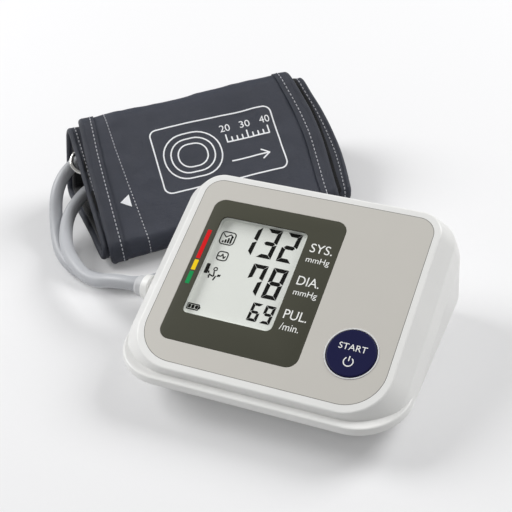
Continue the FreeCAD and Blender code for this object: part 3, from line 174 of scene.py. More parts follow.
# -------- nodes
class Signal:
    """A node's output that adds and multiplies like a number."""

    def __init__(self, tree, socket):
        self.tree, self.socket = tree, socket

    def sum(self, operation, *values):
        return self.tree.node("ShaderNodeMath", dict(enumerate(values)), operation=operation)

    def __add__(self, other):
        return self.sum("ADD", self, other)

    def __mul__(self, other):
        return self.sum("MULTIPLY", self, other)

    def __gt__(self, other):
        return self.sum("GREATER_THAN", self, other)

    def wave(self, pitch):
        """A sine of it, with one wave to each pitch."""
        return self.sum("SINE", self * (2 * math.pi / pitch))

    __radd__ = __add__


class Tree:
    """A node tree, with one method for each node that isn't a sum."""

    def __init__(self, owner):
        owner.use_nodes = True
        self.nodes, self.links = owner.node_tree.nodes, owner.node_tree.links

    def node(self, kind, feeds, output=0, **settings):
        node = self.nodes.new(kind)
        for setting, value in settings.items():
            setattr(node, setting, value)
        for socket, value in feeds.items():
            self.feed(node.inputs[socket], value)
        return Signal(self, node.outputs[output])

    def feed(self, socket, value):
        if isinstance(value, Signal):
            self.links.new(value.socket, socket)
        elif socket.type == "RGBA":
            socket.default_value = (*value[:3], 1.0)
        else:
            socket.default_value = value

    def seen_by(self, ray):
        """1 where a kind of ray arrives, 0 elsewhere."""
        return self.node("ShaderNodeLightPath", {}, output="Is %s Ray" % ray)


class Finish(Tree):
    """A material in the making, its pattern turned about Z by an angle."""

    def __init__(self, name, turn=0.0, **uniform):
        self.material = bpy.data.materials.new(name)
        super().__init__(self.material)
        self.shader = self.nodes["Principled BSDF"]
        for socket, value in uniform.items():
            self.set(socket.replace("_", " "), value)
        here = self.node("ShaderNodeTexCoord", {}, "Object")
        self.place = self.node("ShaderNodeMapping", {"Vector": here, "Rotation": (0, 0, turn)})

    def set(self, socket, value):
        self.feed(self.shader.inputs[socket], value)

    def noise(self, grain, detail=2.0, rough=0.5):
        return self.node("ShaderNodeTexNoise", {"Vector": self.place, "Scale": 1.0 / grain,
                                                "Detail": detail, "Roughness": rough}, "Fac")

    def cells(self, size):
        return self.node("ShaderNodeTexVoronoi", {"Vector": self.place, "Scale": 1.0 / size})

    def axes(self):
        """The three parts of the position."""
        first = self.node("ShaderNodeSeparateXYZ", {0: self.place})
        return [Signal(self, output) for output in first.socket.node.outputs]

    def blend(self, factor, first, second):
        return self.node("ShaderNodeMix", {0: factor, 6: first, 7: second}, 2, data_type="RGBA")

    def shades(self, factor, tone, first, second):
        """From one shade of a tone to another."""
        return self.blend(factor, shade_of(tone, first), shade_of(tone, second))

    def done(self, colour, roughness=None, height=None, depth=0.0):
        """Set what varies over the surface, and give the material."""
        self.set("Base Color", colour)
        if roughness:
            self.set("Roughness", roughness)
        if height:
            self.set("Normal", self.node("ShaderNodeBump", {"Height": height, "Distance": depth}))
        return self.material


# -------- finishes
def shade_of(tone, amount):
    """A darker or lighter form of a colour."""
    return tuple(min(1.0, part * amount) for part in tone[:3])


def moulded(name, tone, roughness, grain=0.35 * MM, relief=0.012 * MM, mottle=0.03, **uniform):
    """Moulded plastic: fine spark texture, and a gloss that drifts a little."""
    finish = Finish(name, **uniform)
    broad, fine = finish.noise(14 * MM), finish.noise(grain, 3.0)
    return finish.done(finish.shades(broad, tone, 1 - mottle, 1 + mottle),
                       roughness - 0.04 + broad * 0.05 + fine * 0.04, fine, relief)


def coated_cloth(name, tone, roughness, lift=1.0, **uniform):
    """Coated nylon: a close plain weave, faint pressed creases and a soft sheen, with painted light
    on the creases' ridges and painted shade in their hollows.
    """
    finish = Finish(name, -CUFF_HEADING, **uniform)
    along, across, height = finish.axes()
    yarn = 0.55 * MM
    weave = along.wave(yarn) * (across + height).wave(yarn)
    crease, broad = finish.noise(9 * MM, 5.0, 0.62), finish.noise(45 * MM)
    # Tone follows the crease relief: painted highlight on the ridges, painted shade in the hollows,
    # mixed with a random broad tone.
    return finish.done(finish.shades(crease * 0.5 + broad * 0.5, tone, 0.76, 1.22),
                       roughness - 0.06 + crease * 0.12, weave * 0.08 + crease * lift, yarn)


def loop_pile(tone):
    """Brushed loops of the closing strip on the cuff's inner side."""
    finish = Finish("lining_pile", Roughness=0.95, Sheen_Weight=0.25, Sheen_Roughness=0.5)
    loops, drift = finish.cells(0.6 * MM), finish.noise(6 * MM)
    return finish.done(finish.shades(loops * 0.6 + drift * 0.4, tone, 1.25, 0.55),
                       height=loops, depth=0.3 * MM)


def thread(tone):
    """Twisted sewing thread."""
    finish = Finish("sewing_thread", -CUFF_HEADING, Roughness=0.7)
    along, across, height = finish.axes()
    twist = (along + across + height).wave(0.3 * MM)
    return finish.done(finish.shades(twist * 0.5 + 0.5, tone, 0.8, 1.1),
                       height=twist, depth=0.03 * MM)


def soft_tube(name, tone):
    """Rubber hose with a faint bloom and fine dust."""
    finish = Finish(name, Coat_Weight=0.12, Coat_Roughness=0.35)
    bloom, dust = finish.noise(12 * MM, 4.0), finish.noise(0.5 * MM)
    return finish.done(finish.shades(bloom * 0.7 + dust * 0.3, tone, 0.92, 1.06),
                       0.36 + bloom * 0.16, dust, 0.012 * MM)


def bright_metal(name, tone, roughness):
    """Plated or rolled metal with a fine uneven polish."""
    finish = Finish(name, Metallic=1.0)
    polish = finish.noise(0.4 * MM, 4.0)
    return finish.done(finish.shades(polish, tone, 0.9, 1.05), roughness + polish * 0.08,
                       polish, 0.004 * MM)


def printed(name, tone, roughness=0.5):
    """Screen-printed ink with a slightly uneven film."""
    finish = Finish(name, Specular_IOR_Level=0.15)
    film = finish.noise(0.5 * MM, 3.0)
    return finish.done(finish.shades(film, tone, 0.95, 1.04), roughness - 0.05 + film * 0.1,
                       film, 0.01 * MM)


def crystal_ground(tone):
    """The display's pale ground, with a slow tint and a painted glow in its own colour, though it
    is no lamp.
    """
    # Painted light: the ground emits its own colour so that it looks brighter.
    finish = Finish("crystal_ground", Specular_IOR_Level=0.2, Emission_Strength=0.11)
    tint, film = finish.noise(60 * MM), finish.noise(0.25 * MM)
    ground = finish.shades(tint * 0.8 + film * 0.2, tone, 0.97, 1.03)
    finish.set("Emission Color", ground)
    return finish.done(ground, 0.42 + film * 0.1)


def clear_pane():
    """Thin clear plastic that shows mostly as a reflection."""
    finish = Finish("pane_clear", Alpha=0.05, Specular_IOR_Level=0.3)
    haze = finish.noise(8 * MM)
    return finish.done(finish.blend(haze, (0.01, 0.012, 0.01), (0.03, 0.03, 0.03)),
                       0.16 + haze * 0.06)


def etched_board():
    """Green board with copper tracks under the varnish."""
    finish = Finish("board_varnish", Coat_Weight=0.5, Coat_Roughness=0.2)
    bend = finish.noise(9 * MM, 0.0)
    tracks = (finish.axes()[0] + bend * 0.012).wave(1.6 * MM) > 0.55
    return finish.done(finish.blend(tracks, (0.012, 0.11, 0.035), (0.05, 0.24, 0.07)),
                       0.4 + tracks * -0.1, tracks, 0.03 * MM)


def cell_jacket():
    """Printed jacket of a dry cell: dark with a light band at one end."""
    finish = Finish("cell_print", Coat_Weight=0.4, Coat_Roughness=0.15)
    band = finish.axes()[1] > 30 * MM
    finish.set("Metallic", band * 0.6)
    return finish.done(finish.blend(band, (0.03, 0.035, 0.05), (0.45, 0.33, 0.12)),
                       0.25 + finish.noise(0.6 * MM) * 0.1)


def open_foam(name, tone):
    """Open foam or rubber with small pits."""
    finish = Finish(name, Roughness=0.9)
    pits = finish.cells(0.625 * MM)
    return finish.done(finish.shades(pits, tone, 0.6, 1.3), height=pits, depth=0.15 * MM)


# -------- bench tools
def act(operator, *pieces, **settings):
    """Run an operator on these pieces and nothing else, the first of them active."""
    bpy.ops.object.select_all(action="DESELECT")
    for piece in pieces:
        piece.select_set(True)
        bpy.context.view_layer.objects.active = pieces[0]
    operator(**settings)
    return bpy.context.object


def new(name, operator, *pieces, **settings):
    """A named piece that an operator adds, or makes of others."""
    piece = act(operator, *pieces, **settings)
    piece.name = name
    return piece


def settle():
    """Put the active piece's place, turn and size into its mesh."""
    bpy.ops.object.transform_apply(location=True, rotation=True, scale=True)
    return bpy.context.object


def turn_and_move(turn, shift):
    """Turn the active piece about the origin in its plane, and then move it."""
    bpy.ops.transform.rotate(value=-turn, orient_axis="Z", center_override=(0, 0, 0))
    bpy.ops.transform.translate(value=shift)
    return settle()


def add_block(name, low, high):
    """A block between two corners, to be shaped further."""
    new(name, bpy.ops.mesh.primitive_cube_add, size=1.0,
        location=[(a + b) / 2 for a, b in zip(low, high)],
        scale=[b - a for a, b in zip(low, high)])
    return settle()


def add_disc(name, radius, centre, sides=64):
    """A flat disc, to be shaped further."""
    new(name, bpy.ops.mesh.primitive_circle_add, vertices=sides, radius=radius,
        location=centre, fill_type="NGON")
    return settle()


def copy_of(piece):
    """A copy with its own mesh."""
    return act(bpy.ops.object.duplicate, piece, linked=False)


def join(name, pieces):
    """One piece from several."""
    return new(name, bpy.ops.object.join, *pieces)


def modify(piece, kind, **settings):
    """Add a modifier, set it and apply it."""
    act(bpy.ops.object.modifier_add, piece, type=kind)
    modifier = piece.modifiers[-1]
    for setting, value in settings.items():
        setattr(modifier, setting, value)
    bpy.ops.object.modifier_apply(modifier=modifier.name)
    return piece


def smooth(piece, degrees=35.0):
    return act(bpy.ops.object.shade_smooth_by_angle, piece, angle=math.radians(degrees))


def lay(piece, where):
    """Put a piece that was modelled in a local frame where it belongs."""
    piece.matrix_world = where @ piece.matrix_world
    return act(settle, piece)


def hand_over(piece, body, slot, material, *stands_for):
    """Give a finished piece its material and body; the slot is not used."""
    piece.data.materials.clear()
    piece.data.materials.append(material)
    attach(piece, body)
    if stands_for:
        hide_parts(*stands_for)
    return piece


def on_panel(piece, slot, material, *stands_for):
    """Lay a piece in the panel's frame and hand it over."""
    return hand_over(lay(piece, PANEL), "monitor", slot, material, *stands_for)


def coat(material, *nodes):
    """Put a material on the own slots of CAD nodes."""
    for node in nodes:
        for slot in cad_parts[node].material_slots:
            slot.link = "OBJECT"
            slot.material = material


# -------- in edit mode
LEVEL = 0.9


def switch(mode):
    bpy.ops.object.mode_set(mode=mode)


def edit(piece):
    act(switch, piece, mode="EDIT")


def leave_edit():
    switch("OBJECT")
    return bpy.context.object


def pick(kind, test):
    """Select what passes a test of its place or normal."""
    bpy.ops.mesh.select_mode(type=kind)
    bpy.ops.mesh.select_all(action="DESELECT")
    piece = bpy.context.object
    mesh = bmesh.from_edit_mesh(piece.data)
    chosen = [part for part in getattr(mesh, kind.lower() + "s") if test(part)]
    if not chosen:
        raise RuntimeError("nothing to select on " + piece.name)
    for part in chosen:
        part.select_set(True)
    mesh.select_flush_mode()
    bmesh.update_edit_mesh(piece.data)


def pick_all():
    bpy.ops.mesh.select_all(action="SELECT")


def spans(axis, least):
    """A test for edges that reach further than this along an axis."""
    return lambda e: abs(e.verts[0].co[axis] - e.verts[1].co[axis]) > least


def level(face, least=LEVEL):
    """Whether a face lies flat, or nearly."""
    return abs(face.normal.z) > least


def cut_out(test):
    """Delete the faces that pass a test."""
    pick("FACE", test)
    bpy.ops.mesh.delete(type="FACE")


def bevel(offset, segments, **settings):
    bpy.ops.mesh.bevel(offset=offset, segments=segments, affect="EDGES", **settings)


def bisect(point, normal, **settings):
    """Cut all faces along a plane."""
    pick_all()
    bpy.ops.mesh.bisect(plane_co=point, plane_no=normal, **settings)


def raise_faces(height):
    """Give flat faces a height."""
    pick_all()
    bpy.ops.mesh.extrude_region_move(TRANSFORM_OT_translate={"value": (0, 0, height)})


def face_outwards():
    """Turn every face to the outside."""
    pick_all()
    bpy.ops.mesh.normals_make_consistent(inside=False)


def cut_ring(line):
    """Cut a plate's middle out to leave a ring so many millimetres wide."""
    pick("FACE", level)
    bpy.ops.mesh.inset(thickness=line * MM)
    cut_out(lambda f: level(f) and len(f.verts) > 4)
    bpy.ops.mesh.select_mode(type="EDGE")
    bpy.ops.mesh.select_non_manifold()
    bpy.ops.mesh.bridge_edge_loops()
    face_outwards()
    return leave_edit()


# -------- plates, in millimetres
def rounded_plate(name, low, high, bottom, top, radius, edge=0.0, segments=8):
    """A plate with rounded corners in plan and, if asked, a soft top edge."""
    plate = add_block(name, mm(*low, bottom), mm(*high, top))
    edit(plate)
    pick("EDGE", spans(2, (top - bottom) / 2 * MM))
    bevel(radius * MM, segments)
    if edge:
        pick("FACE", lambda f: f.normal.z > LEVEL)
        bpy.ops.mesh.region_to_loop()
        bevel(edge * MM, 2)
    return leave_edit()


def outline_plate(low, high, bottom, top, radius, line):
    """A rounded rectangle drawn as a line of a given width."""
    edit(rounded_plate("outline", low, high, bottom, top, radius))
    return cut_ring(line)


def washer(name, radius, line, centre, height, sides, open_above=math.inf):
    """A flat ring, broken where it goes past a height in plan."""
    edit(add_disc(name, radius * MM, mm(*centre), sides))
    pick_all()
    bpy.ops.mesh.inset(thickness=line * MM)
    cut_out(lambda f: len(f.verts) > 4 or f.calc_center_median().y > open_above * MM)
    raise_faces(height * MM)
    return leave_edit()


def lettering(words, left, base, width, height, out, thick):
    """Words that fill a given width and height, as a thin raised print."""
    text = new("words", bpy.ops.object.text_add)
    text.data.body = words
    text.data.extrude = thick * MM / 2
    text.data.resolution_u = 4
    bpy.ops.object.convert(target="MESH")
    letters = bpy.context.object
    edit(letters)
    pick_all()
    bpy.ops.mesh.remove_doubles(threshold=thick * MM / 20)
    face_outwards()
    leave_edit()
    low, high = letters.bound_box[0], letters.bound_box[6]
    across, up = width * MM / (high[0] - low[0]), height * MM / (high[1] - low[1])
    letters.scale = (across, up, 1.0)
    letters.location = (left * MM - low[0] * across, base * MM - low[1] * up,
                        (out + thick / 2) * MM)
    return settle()


# -------- stage
CAMERA_PLACE = (0.16439, -0.33294, 0.36778)
CAMERA_TURNS = ((23.79, "Z"), (90.0 - 38.75, "X"), (-3.96, "Z"))
CAMERA_SHIFT = (-0.1212, -0.0381)
LAMPS = {"key_lamp": (-1.25, 0.02, 0.95), "side_lamp": (0.75, 0.95, 1.05)}
LAMP_SIZE = 0.9
LAMP_AIM = Vector((-0.03, 0.03, 0.02))
FLOOR_GLOW = 0.12
BLACK, WHITE = (0.0, 0.0, 0.0), (1.0, 1.0, 1.0)


class MONITOR_OT_stage(Operator):
    """Camera, soft lamps, pale surroundings and floor."""

    bl_idname = "monitor.stage"
    bl_label = "Stage"

    def execute(self, context):
        settings = context.scene.monitor_stage
        context.scene.view_settings.view_transform = "Standard"
        self.aim_camera(context, settings)
        for name, place in LAMPS.items():
            lamp = new(name, bpy.ops.object.light_add, type="AREA", location=place)
            lamp.data.shape = "DISK"
            lamp.data.size = LAMP_SIZE
            lamp.data.energy = settings.key
            lamp.rotation_euler = (LAMP_AIM - lamp.location).to_track_quat("-Z", "Y").to_euler()
        self.surround(context, settings)
        self.lay_floor(settings)
        return {"FINISHED"}

    def aim_camera(self, context, settings):
        camera = new("camera", bpy.ops.object.camera_add)
        camera.data.lens = settings.lens
        camera.data.sensor_width = 36.0
        camera.data.shift_x, camera.data.shift_y = CAMERA_SHIFT
        place = Matrix.Translation(CAMERA_PLACE)
        for degrees, axis in CAMERA_TURNS:
            place = place @ Matrix.Rotation(math.radians(degrees), 4, axis)
        camera.matrix_world = place
        context.scene.camera = camera

    def surround(self, context, settings):
        """Nearly white where they are looked at, and softer as a light."""
        world = bpy.data.worlds.new("surroundings")
        context.scene.world = world
        tree = Tree(world)
        camera, through = tree.seen_by("Camera"), tree.seen_by("Transmission")
        strength = tree.node("ShaderNodeMapRange", {
            "Value": camera.sum("MAXIMUM", camera, through),
            "To Min": settings.fill, "To Max": 0.97})
        ground = tree.nodes["Background"]
        tree.feed(ground.inputs["Strength"], strength)
        tree.feed(ground.inputs["Color"], WHITE)

    def lay_floor(self, settings):
        floor = add_disc("floor", 4.0, (0.0, 0.0, -0.1 * MM))
        edit(floor)
        pick_all()
        bpy.ops.mesh.inset(thickness=2.5)
        leave_edit()
        finish = Finish("floor_paper", Roughness=0.95, Emission_Strength=1.0,
                        Specular_IOR_Level=0.1)
        glow = finish.blend(finish.seen_by("Camera") * FLOOR_GLOW, BLACK, WHITE)
        finish.set("Emission Color", glow)
        paper = finish.shades(finish.noise(3 * MM), settings.floor, 0.995, 1.005)
        floor.data.materials.append(finish.done(paper))


# -------- hose
class MONITOR_OT_hose(Operator):
    """Air hose, as one length from the plug through the roll to the cuff's port."""

    bl_idname = "monitor.hose"
    bl_label = "Air hose"

    def execute(self, context):
        settings = context.scene.monitor_hose
        line = bpy.data.curves.new("air_hose_line", "CURVE")
        line.dimensions = "3D"
        line.bevel_depth = HOSE_DIAMETER / 2
        line.bevel_resolution = 8
        line.resolution_u = 16
        line.use_fill_caps = True
        spline = line.splines.new("NURBS")
        spline.points.add(len(HOSE_ROUTE) - 1)
        for control, point in zip(spline.points, HOSE_ROUTE):
            control.co = (*point, 1.0)
        spline.order_u = 3
        spline.use_endpoint_u = True
        hose = bpy.data.objects.new("hose", line)
        context.scene.collection.objects.link(hose)
        hand_over(hose, "cuff_set", "hose_grey", soft_tube("hose_rubber", settings.hose),
                  "air_hose")
        coat(moulded("plug_white", linear(247, 247, 245), 0.34), "air_plug")
        coat(moulded("collar_rubber", settings.collar, 0.45), "plug_collar")
        coat(moulded("port_rubber", shade_of(settings.hose, 0.8), 0.5), "hose_port")
        return {"FINISHED"}


# -------- housing
class MONITOR_OT_case(Operator):
    """Finishes of the case, its panel, the feet, the screws and all that is inside."""

    bl_idname = "monitor.case"
    bl_label = "Case and insides"

    def execute(self, context):
        settings = context.scene.monitor_case
        coat(moulded("case_plastic", settings.case, 0.36, grain=settings.grain),
             "upper_case", "lower_case", "battery_cover")
        coat(moulded("panel_plastic", settings.panel, 0.42, grain=settings.grain * 0.7,
                     mottle=0.012), "face_panel")
        coat(moulded("button_plastic", settings.button, 0.5, relief=0.006 * MM,
                     Specular_IOR_Level=0.2), "start_button")
        coat(moulded("holder_plastic", linear(225, 225, 222), 0.5), "lcd_holder")
        coat(moulded("jack_plastic", linear(28, 28, 30), 0.4), "dc_jack", "buzzer")
        coat(moulded("chip_resin", linear(24, 24, 26), 0.55), "board_parts", "tact_switch")
        coat(moulded("pump_plastic", linear(120, 123, 128), 0.45),
             "pump_head", "air_manifold", "air_socket", "leak_valve", "pressure_sensor")
        coat(soft_tube("inner_tube", linear(205, 206, 200)), "pump_tube", "valve_tube")
        coat(open_foam("cushion_foam", linear(50, 50, 52)), "pump_cushion")
        coat(open_foam("foot_rubber", linear(120, 121, 124)), "rubber_feet")
        coat(open_foam("strip_rubber", linear(215, 120, 130)), "contact_strips")
        coat(bright_metal("plated_steel", linear(190, 190, 192), 0.28),
             "battery_contacts", "valve_bracket", "board_screws", "case_screws",
             "exhaust_valve", "pump_motor")
        coat(bright_metal("ring_plating", linear(225, 224, 220), 0.12), "cuff_ring")
        coat(etched_board(), "circuit_board")
        coat(cell_jacket(), "batteries")
        # A dark ring over the panel's edge: painted shadow of the seam between panel and case.
        on_panel(self.seam(), "panel_grey",
                 moulded("seam_shade", shade_of(settings.panel, 0.3), 0.7))
        return {"FINISHED"}

    def seam(self):
        """The fine dark line round the face panel: painted shadow of the narrow gap between panel
        and case.
        """
        edit(add_block("panel_seam", mm(-58.15, -0.15, -0.3), mm(58.15, 98.15, 0.02)))
        for low, high, radius in (mm(-1, 1, 18.15), mm(97, 99, 8.65)):
            pick("EDGE", lambda e: e.calc_length() < 0.5 * MM and low < e.verts[0].co.y < high)
            bevel(radius, 12)
        return cut_ring(0.26)


# -------- display, in millimetres
WINDOW = (-50.1, 10.5), (18.0, 87.4)
OPENING = (-43.8, 25.0), (0.9, 78.4)
OPENING_RADIUS = 3.0
PANE_GAP = 0.05
GLASS_OUT = -3.4
INK = 0.07
INK_OUT = GLASS_OUT + 0.02


class MONITOR_OT_window(Operator):
    """Dark printed border with its opening, the pale well under it and the clear pane."""

    bl_idname = "monitor.window"
    bl_label = "Display window"

    def execute(self, context):
        settings = context.scene.monitor_display
        border = rounded_plate("window_border", *WINDOW, -1.0, 0.0, 5.5, edge=0.12)
        opening = rounded_plate("opening", *OPENING, -2.0, 1.0, OPENING_RADIUS)
        modify(border, "BOOLEAN", object=opening, operation="DIFFERENCE", solver="EXACT")
        bpy.data.objects.remove(opening)
        print_finish = moulded("border_print", settings.border, 0.6, grain=0.2 * MM,
                               relief=0.004 * MM, mottle=0.015, Specular_IOR_Level=0.12)
        on_panel(smooth(border), "window_smoke", print_finish, "display_window")

        well = rounded_plate("window_well", *OPENING, GLASS_OUT, -0.9, OPENING_RADIUS)
        edit(well)
        cut_out(level)
        leave_edit()
        modify(well, "SOLIDIFY", thickness=0.8 * MM, offset=1.0)
        on_panel(smooth(well), "holder_white", moulded("well_plastic", linear(228, 230, 226), 0.5))

        low, high = OPENING
        pane = rounded_plate("window_pane", [v + PANE_GAP for v in low],
                             [v - PANE_GAP for v in high], -0.8, -0.15,
                             OPENING_RADIUS - PANE_GAP, edge=0.1)
        on_panel(smooth(pane), "window_smoke", clear_pane())
        coat(crystal_ground(settings.glass), "lcd_glass")
        return {"FINISHED"}


# Which of the seven segments each figure lights: top, middle, bottom, then the
# left and right ones above and below.
LIT = {0: "TBLRlr", 1: "Rr", 2: "TMBRl", 3: "TMBRr", 4: "MLRr", 5: "TMBLr",
       6: "TMBLlr", 7: "TLRr", 8: "TMBLRlr", 9: "TMBLRr"}
SEGMENT_GAP = 0.14
LEAN = 0.05


def segment(run, stroke, near, far, slant):
    """One segment along X: its upper side is whole, its lower side is cut back at each end."""
    edit(add_block("segment", mm(0.0, -stroke, 0.0), mm(run, 0.0, INK)))
    for end, cut in ((0.0, near), (run, -far)):
        pick("VERT", lambda v: abs(v.co.x / MM - end) < stroke / 9 and v.co.y / MM < -stroke / 2)
        bpy.ops.transform.translate(value=mm(cut, 0.0, 0.0))
    pick("VERT", lambda v: v.co.x / MM > run / 2)
    bpy.ops.transform.translate(value=mm(0.0, slant, 0.0))
    return leave_edit()


def figure(number, left, base, wide, high, stroke):
    """One seven-segment figure, its segments parted by fine slanting gaps."""
    gap, shift = SEGMENT_GAP, LEAN * high / 2
    right, top, half = left + wide, base + high, base + high / 2
    rise = high / 2 - 2 * gap
    flat = segment(wide - 2 * gap, stroke, stroke, stroke, 0.0)
    centre = rounded_plate("centre", (0.0, -stroke / 2), (wide - stroke, stroke / 2), 0.0, INK,
                           stroke * 0.46, segments=1)
    up = segment(rise, stroke, stroke, stroke / 2, -shift)
    down = segment(rise, stroke, stroke / 2, stroke, -shift)
    places = {"T": (flat, left + gap + shift, top, 0), "B": (flat, right - gap - shift, base, 180),
              "M": (centre, left + stroke / 2, half, 0),
              "l": (up, left - shift, base + gap, 90), "L": (down, left, half + gap, 90),
              "R": (up, right + shift, top - gap, -90), "r": (down, right, half - gap, -90)}
    lit = []
    for key in LIT[number]:
        master, x, y, turn = places[key]
        lit.append(copy_of(master))
        turn_and_move(math.radians(turn), mm(x, y, INK_OUT))
    for master in (flat, centre, up, down):
        bpy.data.objects.remove(master)
    return lit


class MONITOR_OT_readings(Operator):
    """The three readings in seven-segment figures."""

    bl_idname = "monitor.readings"
    bl_label = "Readings"

    def execute(self, context):
        settings = context.scene.monitor_display
        rows = ((settings.upper, 1.0, -3.2, 62.2, 7.4, 16.1, 10.2),
                (settings.lower, 1.0, -3.2, 42.1, 7.5, 16.4, 10.2),
                (settings.pulse, 0.68, -2.1, 29.6, 4.9, 9.4, 6.5))
        lit = []
        for reading, weight, right, base, wide, high, pitch in rows:
            for place, mark in enumerate(reversed(str(reading))):
                lit += figure(int(mark), right - wide - place * pitch, base, wide, high,
                              settings.stroke / MM * weight)
        on_panel(join("readings", lit), "lcd_grey", printed("segment_ink", settings.ink, 0.6))
        return {"FINISHED"}


# The display's small signs.  Each has a frame (low and high corner, radius, line) or
# none, and then bars (middle, width, length and turn).
SIGNS = (
    # marker beside the level bar
    ((), ((-41.95, 50.9, 1.9, 5.4, 0),)),
    # memory, as a little chart
    (((-42.2, 64.9), (-34.4, 72.3), 2.0, 0.55),
     ((-40.15, 66.5, 0.9, 1.0, 0), (-38.85, 66.95, 0.9, 1.9, 0), (-37.55, 67.45, 0.9, 2.9, 0),
      (-36.25, 68.1, 0.9, 4.2, 0), (-40.2, 70.0, 0.54, 2.6, 48), (-38.4, 69.9, 0.54, 2.6, -50),
      (-36.5, 70.2, 0.54, 2.4, 50))),
    # an uneven beat
    (((-40.0, 56.1), (-34.3, 61.4), 1.7, 0.55),
     ((-38.6, 58.5, 0.6, 1.5, 90), (-37.6, 59.1, 0.6, 2.0, -28), (-36.8, 58.7, 0.6, 2.9, 24),
      (-35.9, 58.3, 0.6, 1.4, -28))),
    # a sitting figure that keeps still, with marks each side
    (((-38.8, 50.2), (-36.6, 52.4), 1.05, 0.5),
     ((-37.6, 48.7, 0.66, 2.8, 12), (-38.7, 47.7, 0.66, 2.6, 70), (-36.6, 46.6, 0.66, 2.6, -14),
      (-39.7, 46.9, 0.66, 1.7, 20), (-40.5, 49.2, 0.66, 1.3, 20), (-35.3, 48.2, 0.66, 1.3, -20),
      (-34.5, 48.3, 0.66, 1.3, -20))),
    # charge, as a cell with three bars
    (((-44.0, 28.4), (-37.6, 31.7), 0.7, 0.5),
     ((-37.45, 30.05, 0.7, 1.3, 0), (-42.575, 30.1, 1.45, 1.8, 0), (-40.775, 30.1, 1.45, 1.8, 0),
      (-38.975, 30.1, 1.45, 1.8, 0))),
)


class MONITOR_OT_symbols(Operator):
    """Small signs on the display: marker, memory, pulse trace, sitting figure and charge."""

    bl_idname = "monitor.symbols"
    bl_label = "Display signs"

    def execute(self, context):
        parts = []
        for outline, bars in SIGNS:
            if outline:
                low, high, *line = outline
                parts.append(outline_plate(low, high, INK_OUT, INK_OUT + INK, *line))
            for x, y, wide, tall, turn in bars:
                rounded_plate("bar", (-wide / 2, -tall / 2), (wide / 2, tall / 2), 0.0, INK,
                              min(wide, tall) * 0.25, segments=2)
                parts.append(turn_and_move(math.radians(turn), mm(x, y, INK_OUT)))
        on_panel(join("display_signs", parts), "lcd_grey", bpy.data.materials["segment_ink"])
        return {"FINISHED"}


class MONITOR_OT_labels(Operator):
    """Printed names and units beside the display, and the level bar."""

    bl_idname = "monitor.labels"
    bl_label = "Printed labels"

    def execute(self, context):
        rows = (("SYS.", 4.2, 68.7, 11.1, 4.7), ("mmHg", 4.2, 62.4, 11.5, 3.9),
                ("DIA.", 4.0, 50.9, 10.9, 4.7), ("mmHg", 4.2, 44.7, 11.5, 3.9),
                ("PUL.", 3.9, 33.1, 11.2, 4.7), ("/min.", 4.1, 27.4, 9.2, 3.6))
        letters = [lettering(*row, 0.01, 0.06) for row in rows]
        on_panel(join("display_labels", letters), "case_white",
                 printed("label_white", linear(246, 247, 244)))
        bars = (("high", 53.3, 69.4, (220, 12, 20)), ("middle", 46.9, 52.5, (252, 214, 16)),
                ("good", 39.4, 46.1, (8, 150, 80)))
        for name, low, high, tone in bars:
            bar = rounded_plate("level_" + name, (-48.0, low), (-45.9, high), -0.02, 0.06, 0.15,
                                segments=2)
            on_panel(bar, "window_smoke", printed("level_%s_ink" % name, linear(*tone)))
        return {"FINISHED"}


class MONITOR_OT_button_marks(Operator):
    """Word and sign on the button, and the pale ring round it."""

    bl_idname = "monitor.button_marks"
    bl_label = "Button marks"

    def execute(self, context):
        x, y = 39.8, 24.0
        out, thick = 0.56, 0.16
        sign = y - 4.3
        marks = [lettering("START", x - 6.5, y + 1.1, 13.0, 3.0, out, thick),
                 washer("power_ring", 2.4, 0.5, (x, sign, out), thick, 48, open_above=sign + 1.7),
                 rounded_plate("power_bar", (x - 0.25, sign + 0.3), (x + 0.25, sign + 2.8), out,
                               out + thick, 0.2, segments=2)]
        hand_over(lay(join("button_marks", marks), PANEL), "button", "case_white",
                  bpy.data.materials["label_white"])
        ring = washer("button_ring", 12.25, 0.6, (x, y, 0.02), 0.22, 96)
        modify(ring, "BEVEL", width=0.08 * MM, segments=2, limit_method="ANGLE")
        on_panel(smooth(ring), "case_white", moulded("ring_plastic", linear(226, 227, 228), 0.3))
        return {"FINISHED"}


# -------- cuff
LEAST_TURN = 2.6 * MM
ON_TABLE = 0.06 * MM
BROAD_FOLD, FINE_FOLD = 26 * MM, 9 * MM


def roll_corners(inset):
    """Corners (across, up, radius) of the roll's section, drawn in by an inset."""
    left, right = -CUFF_HALF + inset, CUFF_HALF - inset
    floor = max(inset, ON_TABLE)
    lift = inset * math.hypot(1.0, CUFF_RISE)

    def top(across):
        return CUFF_LOW + (across + CUFF_HALF) * CUFF_RISE - lift

    gap = top(left) - floor
    nose = min(max(NOSE - inset, LEAST_TURN), gap * 0.4)
    toe = min(max(TOE - inset, LEAST_TURN), gap * 0.6)
    return [(left, floor, toe), (right, floor, max(HEEL - inset, LEAST_TURN)),
            (right, top(right), max(CREST - inset, LEAST_TURN)), (left, top(left), nose)]


